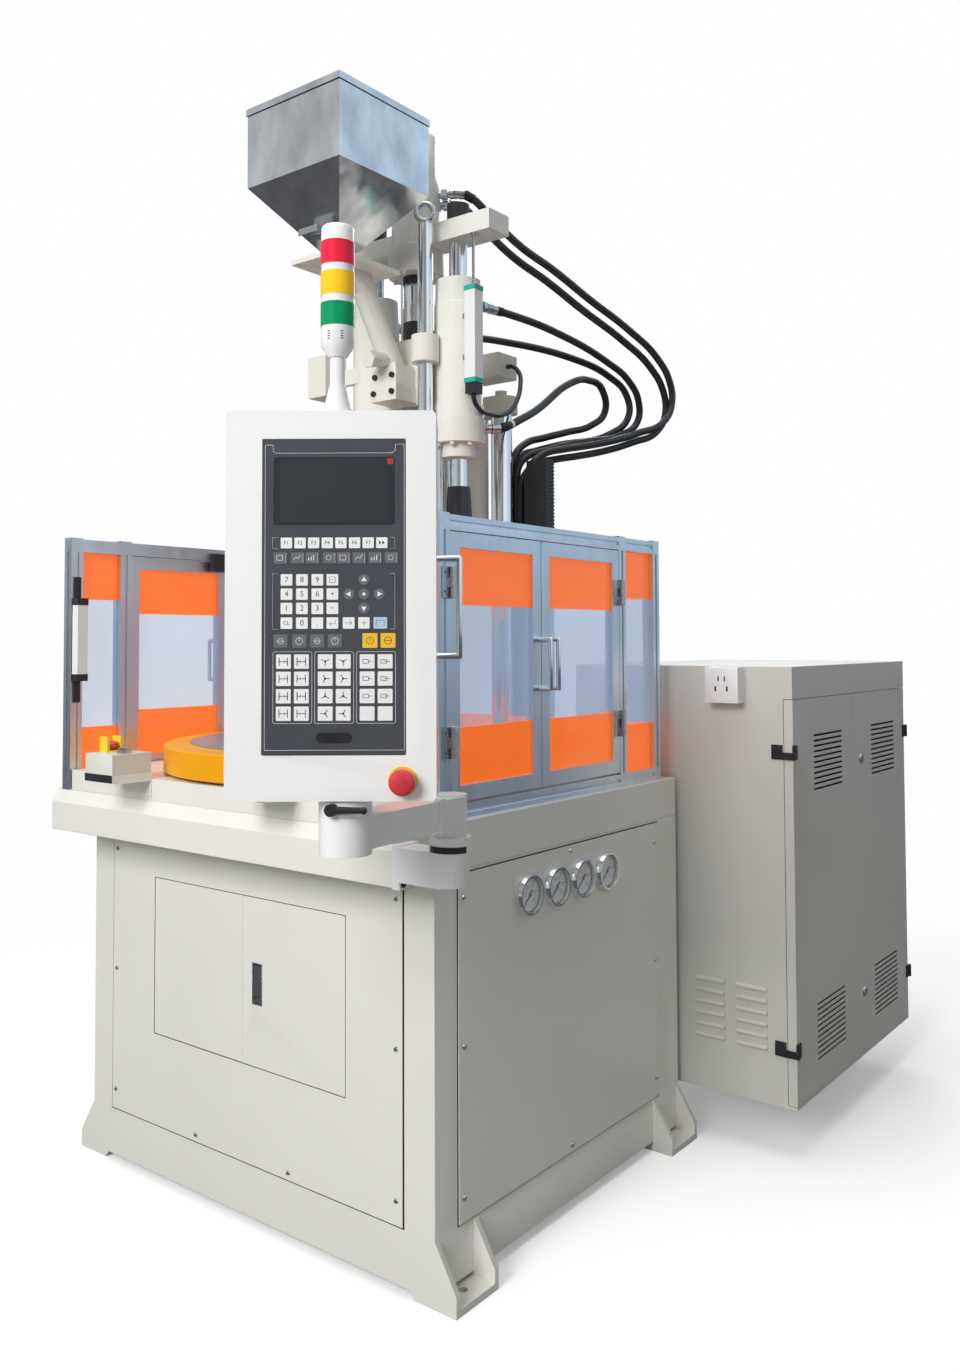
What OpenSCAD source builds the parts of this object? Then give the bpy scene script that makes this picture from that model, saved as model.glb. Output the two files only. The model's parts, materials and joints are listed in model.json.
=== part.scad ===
// Vertical injection moulding machine with a two-station rotary table.
// Front is -Y, +Z is up, and the origin is on the floor in the middle of the four anchor holes.

/* [Base] */
// Width of the base frame over its side faces
base_w = 1056; // [900:2:1300]
// Depth of the base frame from front to back
base_d = 928; // [860:2:1200]
// Height of the lower edge of the panelled body
sill_h = 120; // [90:1:180]
// Height of the top of the work table
table_h = 866; // [780:1:960]
// Height of the folded edge of the work table
table_fold = 92; // [60:1:120]
// Sheet thickness of the work table
table_t = 6; // [3:0.5:10]
// How far the work table stands out in front of the base
ledge_out = 114; // [60:1:160]
// How far the work table stands out past the left side
table_left_out = 8; // [0:1:40]
// How far each foot stands out at the side
foot_out = 50; // [30:1:80]
// Length of each foot from front to back
foot_len = 126; // [90:1:180]
// Height of the outer edge of a foot gusset
foot_toe = 39; // [20:1:60]
// Thickness of the foot plates and the skirt
plate_t = 12; // [8:1:20]
// Radius of an anchor hole
anchor_r = 9; // [6:0.5:14]
// Thickness of the cover panels
panel_t = 2.5; // [1.5:0.5:5]

/* [Front doors] */
// Width of the pair of front doors
front_doors_w = 600; // [400:2:760]
// Height of the front doors
front_doors_h = 348; // [240:2:480]
// Gap around a cover door
door_gap = 0.8; // [0.4:0.1:0.9]

/* [Gauges] */
// Radius of a gauge case
gauge_r = 43; // [30:1:46]
// Distance between gauges
gauge_pitch = 99.5; // [94:0.5:110]
// Height of the gauges' centres
gauge_z = 693; // [500:1:700]

/* [Turntable] */
// Outer radius of the yellow rim
rim_r = 430; // [380:1:440]
// Radius of the steel disc inside the rim
disc_r = 372; // [340:1:378]
// Height of the turntable
disc_h = 64; // [40:1:90]
// Distance from the turntable's axis to the injection axis
station_r = 227; // [200:1:232]
// Pitch circle of the mould bolts of one station
mould_pcd = 250; // [200:2:256]
// Radius of a mould bolt hole
mould_hole_r = 7; // [4:0.5:10]
// Thickness of the deck plate that carries the turntable
deck_t = 46; // [30:1:70]

/* [Clamp] */
// Radius of the centre tie bar
bar0_r = 40; // [30:1:42]
// Radius of the two rear tie bars
bar_r = 28; // [20:1:32]
// Daylight between the turntable and the upper platen
daylight = 350; // [300:1:350]
// Thickness of the upper platen
platen_t = 100; // [70:1:110]
// Travel of the clamp
clamp_stroke = 200; // [120:5:200]

/* [Injection unit] */
// Radius of the injection cylinders
cyl_r = 60; // [50:1:64]
// Distance of each cylinder from the injection axis
cyl_x = 138; // [130:1:146]
// Radius of the injection rods
rod_r = 23; // [16:1:28]
// Radius of the guide rods
guide_r = 19; // [14:1:22]
// Radius of the screw shaft
screw_r = 27; // [20:1:28]
// Radius of the barrel
barrel_r = 45; // [40:1:48]
// Running clearance of a sliding or turning fit, on the radius
fit = 0.05; // [0.02:0.01:0.08]

/* [Hopper] */
// Side of the square hopper box
hopper_w = 300; // [240:2:340]
// Height of the hopper's straight sides
hopper_box_h = 184; // [120:2:200]
// Height of the hopper's pyramid
hopper_cone_h = 168; // [140:2:176]
// Sheet thickness of the hopper
hopper_t = 2; // [1.5:0.5:4]

/* [Guard] */
// Distance over the guard's outer side faces
guard_w = 1032; // [980:2:1040]
// Height of the guard's top rail above the work table
guard_h = 581; // [480:1:640]
// Side of the square guard profile
prof = 30; // [24:1:34]
// Thickness of a guard door
leaf_t = 20; // [16:1:26]
// Thickness of the guard panes
pane_t = 4; // [3:0.5:6]
// Height of the upper orange band
band_top = 110; // [80:1:160]
// Height of the lower orange band
band_bottom = 110; // [80:1:160]

/* [Cabinet] */
// Width of the electrical cabinet from left to right
cab_w = 600; // [500:2:700]
// Length of the cabinet from front to back
cab_d = 821; // [700:2:900]
// Height of the cabinet's body
cab_h = 1025; // [900:1:1100]
// How far the cabinet stands out past the base
cab_out = 297; // [240:1:320]
// Height of the cabinet's header above its doors
cab_head = 78; // [50:1:110]

/* [Control panel] */
// Width of the control panel
hmi_w = 311; // [290:1:340]
// Height of the control panel
hmi_h = 575; // [560:1:620]
// Depth of the control panel
hmi_d = 90; // [70:1:110]
// Turn of the control panel towards the operator, in degrees
hmi_turn = 37.7; // [20:0.1:50]
// Radius of the signal tower
tower_r = 25; // [18:1:30]

/* [Hidden] */

ivory = [0.88, 0.87, 0.81];
steel = [0.72, 0.73, 0.75];
chrome = [0.82, 0.84, 0.86];
black = [0.09, 0.09, 0.10];
grey = [0.62, 0.65, 0.68];
orange = [1.0, 0.42, 0.08, 0.7];
clear = [0.72, 0.78, 0.86, 0.4];
yellow = [0.98, 0.72, 0.10];
red = [0.80, 0.12, 0.14];
white = [0.94, 0.94, 0.93];

// Places shared by several pieces
front_y = -base_d / 2;
rear_y = base_d / 2;
side_x = base_w / 2;
bed_h = table_h - table_fold;
ledge_y = front_y - ledge_out;
turn_y = -130;
axis_y = turn_y + station_r;
deck_w = guard_w - 72;
deck_front = ledge_y + 16;
deck_rear = 382;
deck_top = table_h + deck_t;
disc_gap = 4;
disc_top = deck_top + disc_gap + disc_h;
platen_z = disc_top + daylight;
platen_top = platen_z + platen_t;
bar_x = 96;
bar_y = 330;

// Carries its children to both sides of the middle plane
module both_sides() {
    children();
    mirror([1, 0, 0]) children();
}

// A box given by its lowest and highest corners
module span(a, b) {
    translate(a) cube(b - a);
}

// A round bar along Z between two heights
module bar(x, y, z0, z1, r, n = 48) {
    translate([x, y, z0]) cylinder(r = r, h = z1 - z0, $fn = n);
}

// A button-head screw whose head points along -Y
module screw_head(r = 5, h = 3) {
    rotate([90, 0, 0]) difference() {
        cylinder(r1 = r, r2 = r * 0.7, h = h, $fn = 20);
        translate([0, 0, h - 1.4]) cylinder(r = r * 0.4, h = 2, $fn = 6);
    }
}

/* Base */

column_w = 76;
column_d = 68;
rail_h = 36;
rail_d = 40;
sill_low = 22;
skirt_low = 15;
pad_t = 14;
pad_in = 48;
anchor_x = side_x + 14;
anchor_y = base_d / 2 - 64;

module skirt() {
    half = [[side_x - pad_in, 0], [side_x + foot_out, 0], [side_x + foot_out, foot_toe], [side_x, sill_h]];
    pts = concat(half, [for (i = [3 : -1 : 0]) [-half[i][0], half[i][1]]],
        [[-side_x + pad_in + 12, skirt_low], [side_x - pad_in - 12, skirt_low]]);
    rotate([90, 0, 0]) linear_extrude(plate_t) polygon(pts);
}

module foot() {
    inner = side_x - pad_in;
    outer = side_x + foot_out;
    difference() {
        translate([inner, -foot_len, 0]) cube([outer - inner, foot_len - plate_t, pad_t]);
        translate([anchor_x, anchor_y - base_d / 2, -1]) cylinder(r = anchor_r, h = pad_t + 2, $fn = 32);
    }
    translate([0, -foot_len + plate_t, 0]) rotate([90, 0, 0]) linear_extrude(plate_t)
        polygon([[side_x - plate_t, pad_t], [outer, pad_t], [outer, foot_toe], [side_x, sill_h],
            [side_x - plate_t, sill_h]]);
}

module base_frame() color(ivory) {
    translate([0, front_y + plate_t, 0]) skirt();
    translate([0, rear_y, 0]) skirt();
    both_sides() {
        translate([0, rear_y, 0]) foot();
        mirror([0, 1, 0]) translate([0, rear_y, 0]) foot();
        span([side_x - plate_t, front_y + plate_t, sill_low], [side_x, rear_y - plate_t, sill_h]);
        for (y = [front_y, rear_y - column_d])
            span([side_x - column_w, y, sill_h], [side_x, y + column_d, bed_h]);
        for (z = [sill_h, bed_h - rail_h])
            span([side_x - rail_d, front_y + column_d, z], [side_x, rear_y - column_d, z + rail_h]);
    }
    for (y = [front_y, rear_y - rail_d]) for (z = [sill_h, bed_h - rail_h])
        span([-side_x + column_w, y, z], [side_x - column_w, y + rail_d, z + rail_h]);
}

// Cover panels lie on the faces of the frame, with the front one cut out for the doors
front_panel_w = base_w - 152;
panel_low = sill_h + 3;
panel_high = bed_h - 6;
doors_x = 5;
doors_z = 325;
side_panel_y0 = front_y + column_d;
side_panel_y1 = rear_y - 98;

module cover_panels() color(ivory) {
    difference() {
        span([-front_panel_w / 2, front_y - panel_t, panel_low], [front_panel_w / 2, front_y, panel_high]);
        span([doors_x - front_doors_w / 2, front_y - panel_t - 1, doors_z],
            [doors_x + front_doors_w / 2, front_y + 1, doors_z + front_doors_h]);
    }
    both_sides() span([side_x, side_panel_y0, panel_low], [side_x + panel_t, side_panel_y1, panel_high]);
    span([-front_panel_w / 2, rear_y, panel_low], [front_panel_w / 2, rear_y + panel_t, panel_high]);
}

screw_in = 15;
module panel_screws() color(steel) {
    fx = front_panel_w / 2 - screw_in;
    sy0 = side_panel_y0 + screw_in;
    sy1 = side_panel_y1 - screw_in;
    rows = [panel_low + 3 * screw_in, (panel_low + panel_high) / 2, panel_high - 3 * screw_in];
    for (x = [-fx, fx], z = rows) translate([x, front_y - panel_t, z]) screw_head();
    for (x = [-fx / 3, fx / 3]) translate([x, front_y - panel_t, panel_low + screw_in]) screw_head();
    both_sides() {
        for (y = [sy0, sy1], z = rows) translate([side_x + panel_t, y, z]) rotate([0, 0, 90]) screw_head();
        for (z = [panel_low + screw_in, panel_high - 12])
            translate([side_x + panel_t, (sy0 + sy1) / 2, z]) rotate([0, 0, 90]) screw_head();
    }
}

module work_table() color(ivory) {
    x0 = -side_x - table_left_out;
    x1 = side_x;
    face = 64;
    outline = [[ledge_y, bed_h], [ledge_y, bed_h + face], [ledge_y + 16, table_h], [rear_y, table_h],
        [rear_y, bed_h]];
    hollow = [[ledge_y + table_t, bed_h - 1], [ledge_y + table_t, bed_h + face - 3],
        [ledge_y + 16 + table_t / 2, table_h - table_t], [rear_y - table_t, table_h - table_t],
        [rear_y - table_t, bed_h - 1]];
    difference() {
        translate([x0, 0, 0]) rotate([90, 0, 90]) linear_extrude(x1 - x0) polygon(outline);
        translate([x0 + table_t, 0, 0]) rotate([90, 0, 90]) linear_extrude(x1 - x0 - 2 * table_t)
            polygon(hollow);
        bar(0, turn_y, bed_h, table_h + 1, hub_r + 6, 64);
        for (s = [-1, 1]) bar(s * bar_x, bar_y, bed_h, table_h + 1, bar_r + 4);
        span([trough_x0 + duct_wall, trough_y0 + duct_wall, bed_h],
            [trough_x1 - duct_wall, rear_y - 2 * table_t, table_h + 1]);
    }
}

hub_r = 70;
module deck_plate() color(ivory) difference() {
    span([-deck_w / 2, deck_front, table_h], [deck_w / 2, deck_rear, deck_top]);
    bar(0, turn_y, table_h - 1, deck_top + 1, hub_r + fit, 64);
    for (s = [-1, 1]) bar(s * bar_x, bar_y, table_h - 1, deck_top + 1, bar_r + fit);
}

// Oil tank, pump, motor and the clamp cylinder, all inside the base
tank_h = 190;
clamp_bore = 45;
module hydraulic_unit() {
    color(ivory) {
        span([-side_x + 60, -60, sill_h], [side_x - 60, rear_y - column_d, sill_h + tank_h]);
        span([-side_x + rail_d, -330, sill_h], [side_x - rail_d, rear_y - column_d, sill_h + 10]);
    }
    color(grey) {
        translate([-130, -230, sill_h + 110]) rotate([0, 90, 0]) cylinder(r = 92, h = 290, $fn = 48);
        translate([160, -230, sill_h + 110]) rotate([0, 90, 0]) cylinder(r = 55, h = 130, $fn = 40);
        span([-110, -320, sill_h + 10], [290, -140, sill_h + 26]);
    }
    color(ivory) difference() {
        union() {
            bar(0, axis_y, table_h - 246, table_h - table_t, 95, 64);
            for (x = [-150, 150])
                span([x - 30, axis_y - 60, table_h - 60], [x + 30, axis_y + 60, table_h - table_t]);
            span([-150, axis_y - 50, table_h - 50], [150, axis_y + 50, table_h - table_t]);
        }
        bar(0, axis_y, table_h - 247, table_h - 20, clamp_bore + fit, 48);
    }
}

/* Gauges on the right side */

gauge_y0 = -176;
dial_x = side_x + panel_t + 8;
module at_gauge(i) translate([0, gauge_y0 + i * gauge_pitch, gauge_z]) rotate([0, 90, 0]) children();

module gauges() {
    x0 = side_x + panel_t;
    color(ivory) span([x0, gauge_y0 - 46, gauge_z - 50],
        [x0 + 2, gauge_y0 + 3 * gauge_pitch + 46, gauge_z + 54]);
    for (i = [0 : 3]) {
        color(chrome) at_gauge(i) translate([0, 0, x0 + 2]) rotate_extrude($fn = 48)
            polygon([[0, 0], [gauge_r, 0], [gauge_r, 6], [gauge_r - 3, 14], [gauge_r - 7, 14],
                [gauge_r - 8, dial_x - x0 - 2], [1.5, dial_x - x0 - 2], [1.5, dial_x - x0 + 2],
                [0, dial_x - x0 + 2]]);
        color(clear) at_gauge(i) translate([0, 0, x0 + 12.5]) cylinder(r = gauge_r - 7.8, h = 1.4, $fn = 48);
    }
}

module needle(i) color(black) at_gauge(i) translate([0, 0, dial_x + 0.4]) rotate([0, 0, -45]) difference() {
    union() {
        cylinder(r = 4, h = 1.2, $fn = 24);
        linear_extrude(1)
            polygon([[-12, -1.6], [0, -2], [gauge_r - 14, -0.5], [gauge_r - 14, 0.5], [0, 2], [-12, 1.6]]);
    }
    translate([0, 0, -1]) cylinder(r = 1.5 + fit, h = 3, $fn = 24);
}

module gauge_needle_1() needle(0);
module gauge_needle_2() needle(1);
module gauge_needle_3() needle(2);
module gauge_needle_4() needle(3);

/* Front doors: folded trays hung at their outer edges */

door_fold = 16;
split_x = doors_x;
latch_x = split_x + 46;
latch_z = doors_z + 171;
latch_w = 30;
latch_h = 86;

module front_leaf(x0, x1) difference() {
    span([x0, front_y - panel_t, doors_z + door_gap],
        [x1, front_y + door_fold, doors_z + front_doors_h - door_gap]);
    span([x0 + 2, front_y, doors_z + door_gap + 2],
        [x1 - 2, front_y + door_fold + 1, doors_z + front_doors_h - door_gap - 2]);
}

module front_door_left() color(ivory)
    front_leaf(doors_x - front_doors_w / 2 + door_gap, split_x - door_gap / 2);

module front_door_right() color(ivory) {
    difference() {
        front_leaf(split_x + door_gap / 2, doors_x + front_doors_w / 2 - door_gap);
        span([latch_x - latch_w / 2 + 3, front_y - panel_t - 1, latch_z - latch_h / 2 + 3],
            [latch_x + latch_w / 2 - 3, front_y + 1, latch_z + latch_h / 2 - 3]);
    }
    difference() {
        span([latch_x - latch_w / 2, front_y - panel_t - 1.5, latch_z - latch_h / 2],
            [latch_x + latch_w / 2, front_y + 8, latch_z + latch_h / 2]);
        span([latch_x - latch_w / 2 + 3, front_y - panel_t - 2, latch_z - latch_h / 2 + 3],
            [latch_x + latch_w / 2 - 3, front_y + 6, latch_z + latch_h / 2 - 3]);
    }
}

// Paddle of the flush latch, turning on a pin near its top
module door_latch() color(steel) {
    w = latch_w - 6 - 0.6;
    span([latch_x - w / 2, front_y - panel_t - 1, latch_z - latch_h / 2 + 18],
        [latch_x + w / 2, front_y - panel_t + 1.5, latch_z + latch_h / 2 - 5]);
    translate([latch_x - w / 2, front_y, latch_z + latch_h / 2 - 10]) rotate([0, 90, 0])
        cylinder(r = 2.4, h = w, $fn = 20);
}

/* Turntable */

module mould_holes(r, depth) for (s = [-1, 1], i = [0 : 7])
    translate([0, turn_y + s * station_r, disc_top - depth]) rotate([0, 0, i * 45 + 22.5])
        translate([mould_pcd / 2, 0, 0]) cylinder(r = r, h = depth + 1, $fn = 24);

module rotary_table() color(steel) difference() {
    union() {
        bar(0, turn_y, deck_top + disc_gap, disc_top, disc_r - 0.2, 96);
        bar(0, turn_y, deck_top + 0.3, deck_top + disc_gap, 150, 64);
        bar(0, turn_y, table_h - 40, deck_top + 1, hub_r, 64);
    }
    bar(0, turn_y, table_h - 41, disc_top + 1, bar0_r + 4, 64);
    mould_holes(mould_hole_r, 34);
    for (s = [-1, 1], k = [-1, 1]) translate([k * 60, turn_y + s * station_r, disc_top - 14])
        translate([-9, -90, 0]) cube([18, 180, 15]);
}

module table_rim() color(yellow) translate([0, turn_y, 0]) difference() {
    rotate_extrude($fn = 128) polygon([[disc_r, deck_top + disc_gap + 2],
        [rim_r - 2, deck_top + disc_gap + 2], [rim_r, deck_top + disc_gap + 4],
        [rim_r, disc_top - 6], [rim_r - 2, disc_top - 4],
        [disc_r + 8, disc_top - 4], [disc_r, disc_top - 2]]);
    for (i = [0 : 11]) rotate([0, 0, i * 30 + 15]) translate([(rim_r + disc_r) / 2 + 12, 0, disc_top - 14])
        cylinder(r = 3.5, h = 15, $fn = 16);
}

/* Clamp: three tie bars pull the upper platen down */

module platen_outline() hull() {
    translate([0, turn_y]) circle(r = 90, $fn = 32);
    for (s = [-1, 1]) {
        translate([s * (bar_x + 14), bar_y - 6]) circle(r = 52, $fn = 32);
        translate([s * cyl_x, axis_y - 82]) circle(r = 60, $fn = 32);
    }
}

nozzle_hole_r = 52;
module upper_platen() color(ivory) difference() {
    translate([0, 0, platen_z]) linear_extrude(platen_t) platen_outline();
    bar(0, axis_y, platen_z - 1, platen_top + 1, nozzle_hole_r, 64);
    for (p = [[0, turn_y, bar0_r], [bar_x, bar_y, bar_r], [-bar_x, bar_y, bar_r]])
        bar(p[0], p[1], platen_z - 1, platen_top + 1, p[2]);
}

yoke_z = 560;
yoke_t = 44;
module tie_bars() color(chrome) {
    bar(0, turn_y, yoke_z, platen_top + 46, bar0_r, 64);
    bar(0, turn_y, platen_top, platen_top + 34, bar0_r * 1.6, 6);
    for (s = [-1, 1]) {
        bar(s * bar_x, bar_y, yoke_z, seat_z0, bar_r, 64);
        bar(s * bar_x, bar_y, platen_top, platen_top + 30, bar_r + 12, 6);
    }
    translate([0, 0, yoke_z]) linear_extrude(yoke_t) hull() {
        translate([0, turn_y]) circle(r = 70, $fn = 32);
        for (s = [-1, 1]) translate([s * bar_x, bar_y]) circle(r = 56, $fn = 32);
    }
    bar(0, axis_y, yoke_z, table_h - 26, clamp_bore, 48);
}

// Cylinder that lifts the injection unit, held between the tops of the rear bars
seat_y = 350;
seat_r = 30;
seat_rod_r = 18;
seat_z0 = platen_top + 376;
seat_z1 = platen_top + 420;
module seat_cylinder() color(ivory) difference() {
    union() {
        bar(0, seat_y, platen_top, seat_z0, seat_r, 48);
        bar(0, seat_y, platen_top, platen_top + 26, seat_r + 2, 48);
        translate([0, 0, seat_z0]) linear_extrude(seat_z1 - seat_z0) hull()
            for (s = [-1, 1]) translate([s * bar_x, bar_y + 6]) circle(r = 40, $fn = 32);
        for (s = [-1, 1]) bar(s * bar_x, bar_y, seat_z1, seat_z1 + 16, 18, 6);
        bar(0, seat_y, seat_z1, seat_z1 + 8, seat_rod_r + 9, 32);
    }
    bar(0, seat_y, seat_z1 - 206, seat_z1 + 9, seat_rod_r + fit, 40);
}

/* Injection unit */

guide_x = 100;
guide_dy = -82;
guide_top = platen_top + 791;
boot_top = platen_top + 153;
module guide_rods() color(chrome) {
    for (s = [-1, 1]) {
        gx = s * guide_x;
        gy = axis_y + s * guide_dy;
        bar(gx, gy, platen_top, guide_top, guide_r);
        bar(gx, gy, platen_top, platen_top + 26, guide_r + 12);
        bar(gx, gy, guide_top, guide_top + 7, guide_r * 0.8, 32);
        translate([gx, gy, guide_top + 31]) rotate([90, 0, hmi_turn]) rotate_extrude($fn = 32)
            translate([21, 0]) circle(r = 7, $fn = 16);
    }
    for (s = [-1, 1]) bar(s * cyl_x, axis_y, platen_top, collar_low + 128, foot_rod_r);
}

foot_rod_r = 21;
module rod_boots() color(black) for (s = [-1, 1]) translate([s * cyl_x, axis_y, platen_top])
    rotate_extrude($fn = 32) polygon([[foot_rod_r, 0], [44, 0], [44, 14], [36, 20],
        [28, boot_top - platen_top], [foot_rod_r, boot_top - platen_top]]);

// Heights of the unit above the platen, for the open machine at rest
cyl_low = platen_top + 351;
cyl_top = platen_top + 662;
flange_low = platen_top + 258;
collar_low = platen_top + 224;
block_top = platen_top + 530;
head_low = platen_top + 760;
head_top = platen_top + 809;

module injection_cylinders() {
    cylinder_pair();
    color(steel) difference() {
        union() {
            fitting(top_port, 90, 60);
            fitting([-top_port[0], top_port[1], top_port[2]], 90, 60);
            fitting(low_port, 60, 40);
        }
        for (s = [-1, 1]) bar(s * cyl_x, axis_y, flange_low, cyl_top - 60, cyl_r - 4, 64);
    }
}
module cylinder_pair() color(ivory) for (s = [-1, 1]) translate([s * cyl_x, axis_y, 0]) difference() {
    union() {
        rotate_extrude($fn = 64) polygon([[0, collar_low], [44, collar_low], [44, flange_low],
            [cyl_r + 6, flange_low], [cyl_r + 6, flange_low + 60], [cyl_r + 3, flange_low + 62],
            [cyl_r + 3, cyl_low], [cyl_r, cyl_low + 4], [cyl_r, cyl_top - 62], [cyl_r - 2, cyl_top - 60],
            [cyl_r - 4, cyl_top], [0, cyl_top]]);
        for (i = [0 : 7]) rotate([0, 0, i * 45 + 22.5]) translate([cyl_r - 4, 0, flange_low - 8])
            cylinder(r = 6, h = 10, $fn = 16);
    }
    translate([0, 0, collar_low - 1]) cylinder(r = foot_rod_r + fit, h = 174, $fn = 48);
    translate([0, 0, cyl_low + 46]) cylinder(r = rod_r + fit, h = cyl_top - cyl_low, $fn = 48);
}

// Casting between the cylinders, with a clamp collar around each guide rod
throat_w = 84;
collar_z0 = platen_top + 451;
collar_z1 = platen_top + 517;
module carriage() {
    carriage_casting();
    color(chrome) {
        bar(0, seat_y, seat_z1 - 130, lug_z1 + 22, seat_rod_r, 40);
        bar(0, seat_y, lug_z1 + 0.2, lug_z1 + 18, seat_rod_r + 9, 6);
    }
}
module carriage_casting() color(ivory) difference() {
    union() {
        span([-cyl_x + cyl_r - 18, axis_y - 48, cyl_low + 10], [cyl_x - cyl_r + 18, axis_y + 48, block_top]);
        span([-throat_w / 2, axis_y - 124, cyl_low + 14], [throat_w / 2, axis_y - 40, cyl_low + 54]);
        span([-throat_w / 2 + 3, axis_y - 121, cyl_low + 54], [throat_w / 2 - 3, axis_y - 40, cyl_low + 96]);
        for (s = [-1, 1]) {
            bar(s * guide_x, axis_y + s * guide_dy, collar_z0, collar_z1, guide_r + 15, 48);
            span([s * guide_x - 26, axis_y + s * 20 - (s > 0 ? 102 : 0), collar_z0 + 4],
                [s * guide_x + 26, axis_y + s * 20 + (s > 0 ? 0 : 102), collar_z1 - 4]);
        }
        span([-50, axis_y + 40, lug_z0], [50, seat_y, lug_z1]);
        span([-115, seat_y - 58, lug_z0], [115, seat_y + 24, lug_z1]);
        span([-ruler_x - 58, axis_y - 118, cyl_low + 56], [-ruler_x + 6, axis_y - 42, cyl_low + 162]);
        span([-ruler_x + 4, axis_y - 60, cyl_low + 90], [-cyl_x, axis_y - 44, cyl_low + 130]);
        for (i = [-1, 1]) translate([i * (throat_w / 2 - 12), axis_y - 124, cyl_low + 34]) rotate([90, 0, 0])
            cylinder(r = 7, h = 6, $fn = 20);
        for (i = [-1, 1]) translate([i * (throat_w / 2 - 14), axis_y - 121, cyl_low + 75]) rotate([90, 0, 0])
            cylinder(r = 7, h = 6, $fn = 20);
    }
    bar(0, axis_y, cyl_low, block_top + 1, barrel_r + 0.2, 48);
    for (s = [-1, 1]) {
        bar(s * guide_x, axis_y + s * guide_dy, collar_z0 - 5, collar_z1 + 5, guide_r + fit);
        bar(s * cyl_x, axis_y, cyl_low - 5, cyl_top, cyl_r + 0.3, 64);
    }
    bar(0, axis_y - 84, cyl_low + 30, cyl_low + 97, 18, 32);
    bar(0, seat_y, lug_z0 - 1, lug_z1 + 1, seat_rod_r + 0.1, 40);
}
lug_z0 = cyl_low + 120;
lug_z1 = cyl_low + 182;

nozzle_z = platen_z + 30;
barrel_low = nozzle_z + 50;
gland_top = block_top + 52;
module barrel() {
    color(steel) difference() {
        union() {
            bar(0, axis_y, barrel_low, block_top, barrel_r, 48);
            translate([0, axis_y, 0]) rotate_extrude($fn = 48)
                polygon([[0, nozzle_z], [6, nozzle_z], [20, nozzle_z + 26], [22, barrel_low],
                    [0, barrel_low]]);
        }
        bar(0, axis_y, screw_low - 96, block_top + 1, screw_r + fit);
        bar(0, axis_y, nozzle_z - 1, screw_low, 3, 24);
    }
    color(black) difference() {
        bar(0, axis_y, block_top, gland_top, 33, 32);
        bar(0, axis_y, block_top - 1, gland_top + 1, screw_r + fit);
    }
    color(steel) for (i = [0 : 3]) translate([0, axis_y, platen_top + 45 + i * 56]) difference() {
        union() {
            cylinder(r = barrel_r + 6, h = 44, $fn = 48);
            translate([-9, -barrel_r - 16, 4]) cube([18, 14, 36]);
        }
        translate([0, 0, -1]) cylinder(r = barrel_r + 0.2, h = 46, $fn = 48);
    }
}

screw_low = barrel_low + 110;
screw_top = head_low - 83;
module screw() {
    color(chrome) bar(0, axis_y, screw_low, screw_top, screw_r);
    color(black) translate([0, axis_y, screw_top]) difference() {
        cylinder(r = 33, h = head_low - 60.3 - screw_top, $fn = 32);
        for (i = [0 : 3]) rotate([0, 0, i * 90]) translate([30, 0, 8]) rotate([0, 90, 0])
            cylinder(r = 4, h = 5, $fn = 16);
    }
}

// Crosshead plate with the round bearing housing of the screw drive
module crosshead() color(ivory) {
    difference() {
        union() {
            span([-cyl_x - 48, axis_y - 40, head_low], [cyl_x + 126, axis_y + 40, head_top]);
            translate([0, axis_y, 0]) rotate_extrude($fn = 64) polygon([[0, head_low - 60],
                [70, head_low - 60], [72, head_low - 57], [72, head_low + 9],
                [62, head_low + 13], [62, head_top + 60], [0, head_top + 60]]);
            for (i = [0 : 7]) translate([0, axis_y, head_low - 67]) rotate([0, 0, i * 45 + 12])
                translate([60, 0, 0]) cylinder(r = 6, h = 10, $fn = 16);
        }
        for (s = [-1, 1]) bar(s * cyl_x, axis_y, head_low - 1, head_top + 1, rod_r);
    }
    bar(ruler_x, ruler_y, ruler_z + ruler_h - 70, head_low, ruler_rod_r, 24);
    bar(ruler_x, ruler_y, head_low - 7, head_low, 8, 6);
}

module injection_rods() {
    for (s = [-1, 1]) {
        color(chrome) bar(s * cyl_x, axis_y, cyl_low + 140, head_top, rod_r);
        color(black) bar(s * cyl_x, axis_y, head_top, head_top + 46, rod_r + 5, 32);
    }
}

motor_low = head_top + 60;
port_turn = 26;
module hydraulic_motor() {
    color(ivory) translate([0, axis_y, 0]) {
        rotate_extrude($fn = 64) polygon([[0, motor_low], [62, motor_low], [62, motor_low + 57],
            [52, motor_low + 91], [52, motor_low + 188], [49, motor_low + 192], [0, motor_low + 192]]);
        for (i = [0 : 4]) rotate([0, 0, i * 72]) translate([38, 0, motor_low + 192])
            cylinder(r = 6, h = 7, $fn = 6);
    }
    color(steel) difference() {
        for (k = [0, 1]) fitting(motor_port + k * port_step, port_turn, 52);
        bar(0, axis_y, motor_low, motor_low + 58, 62, 64);
    }
}

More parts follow.
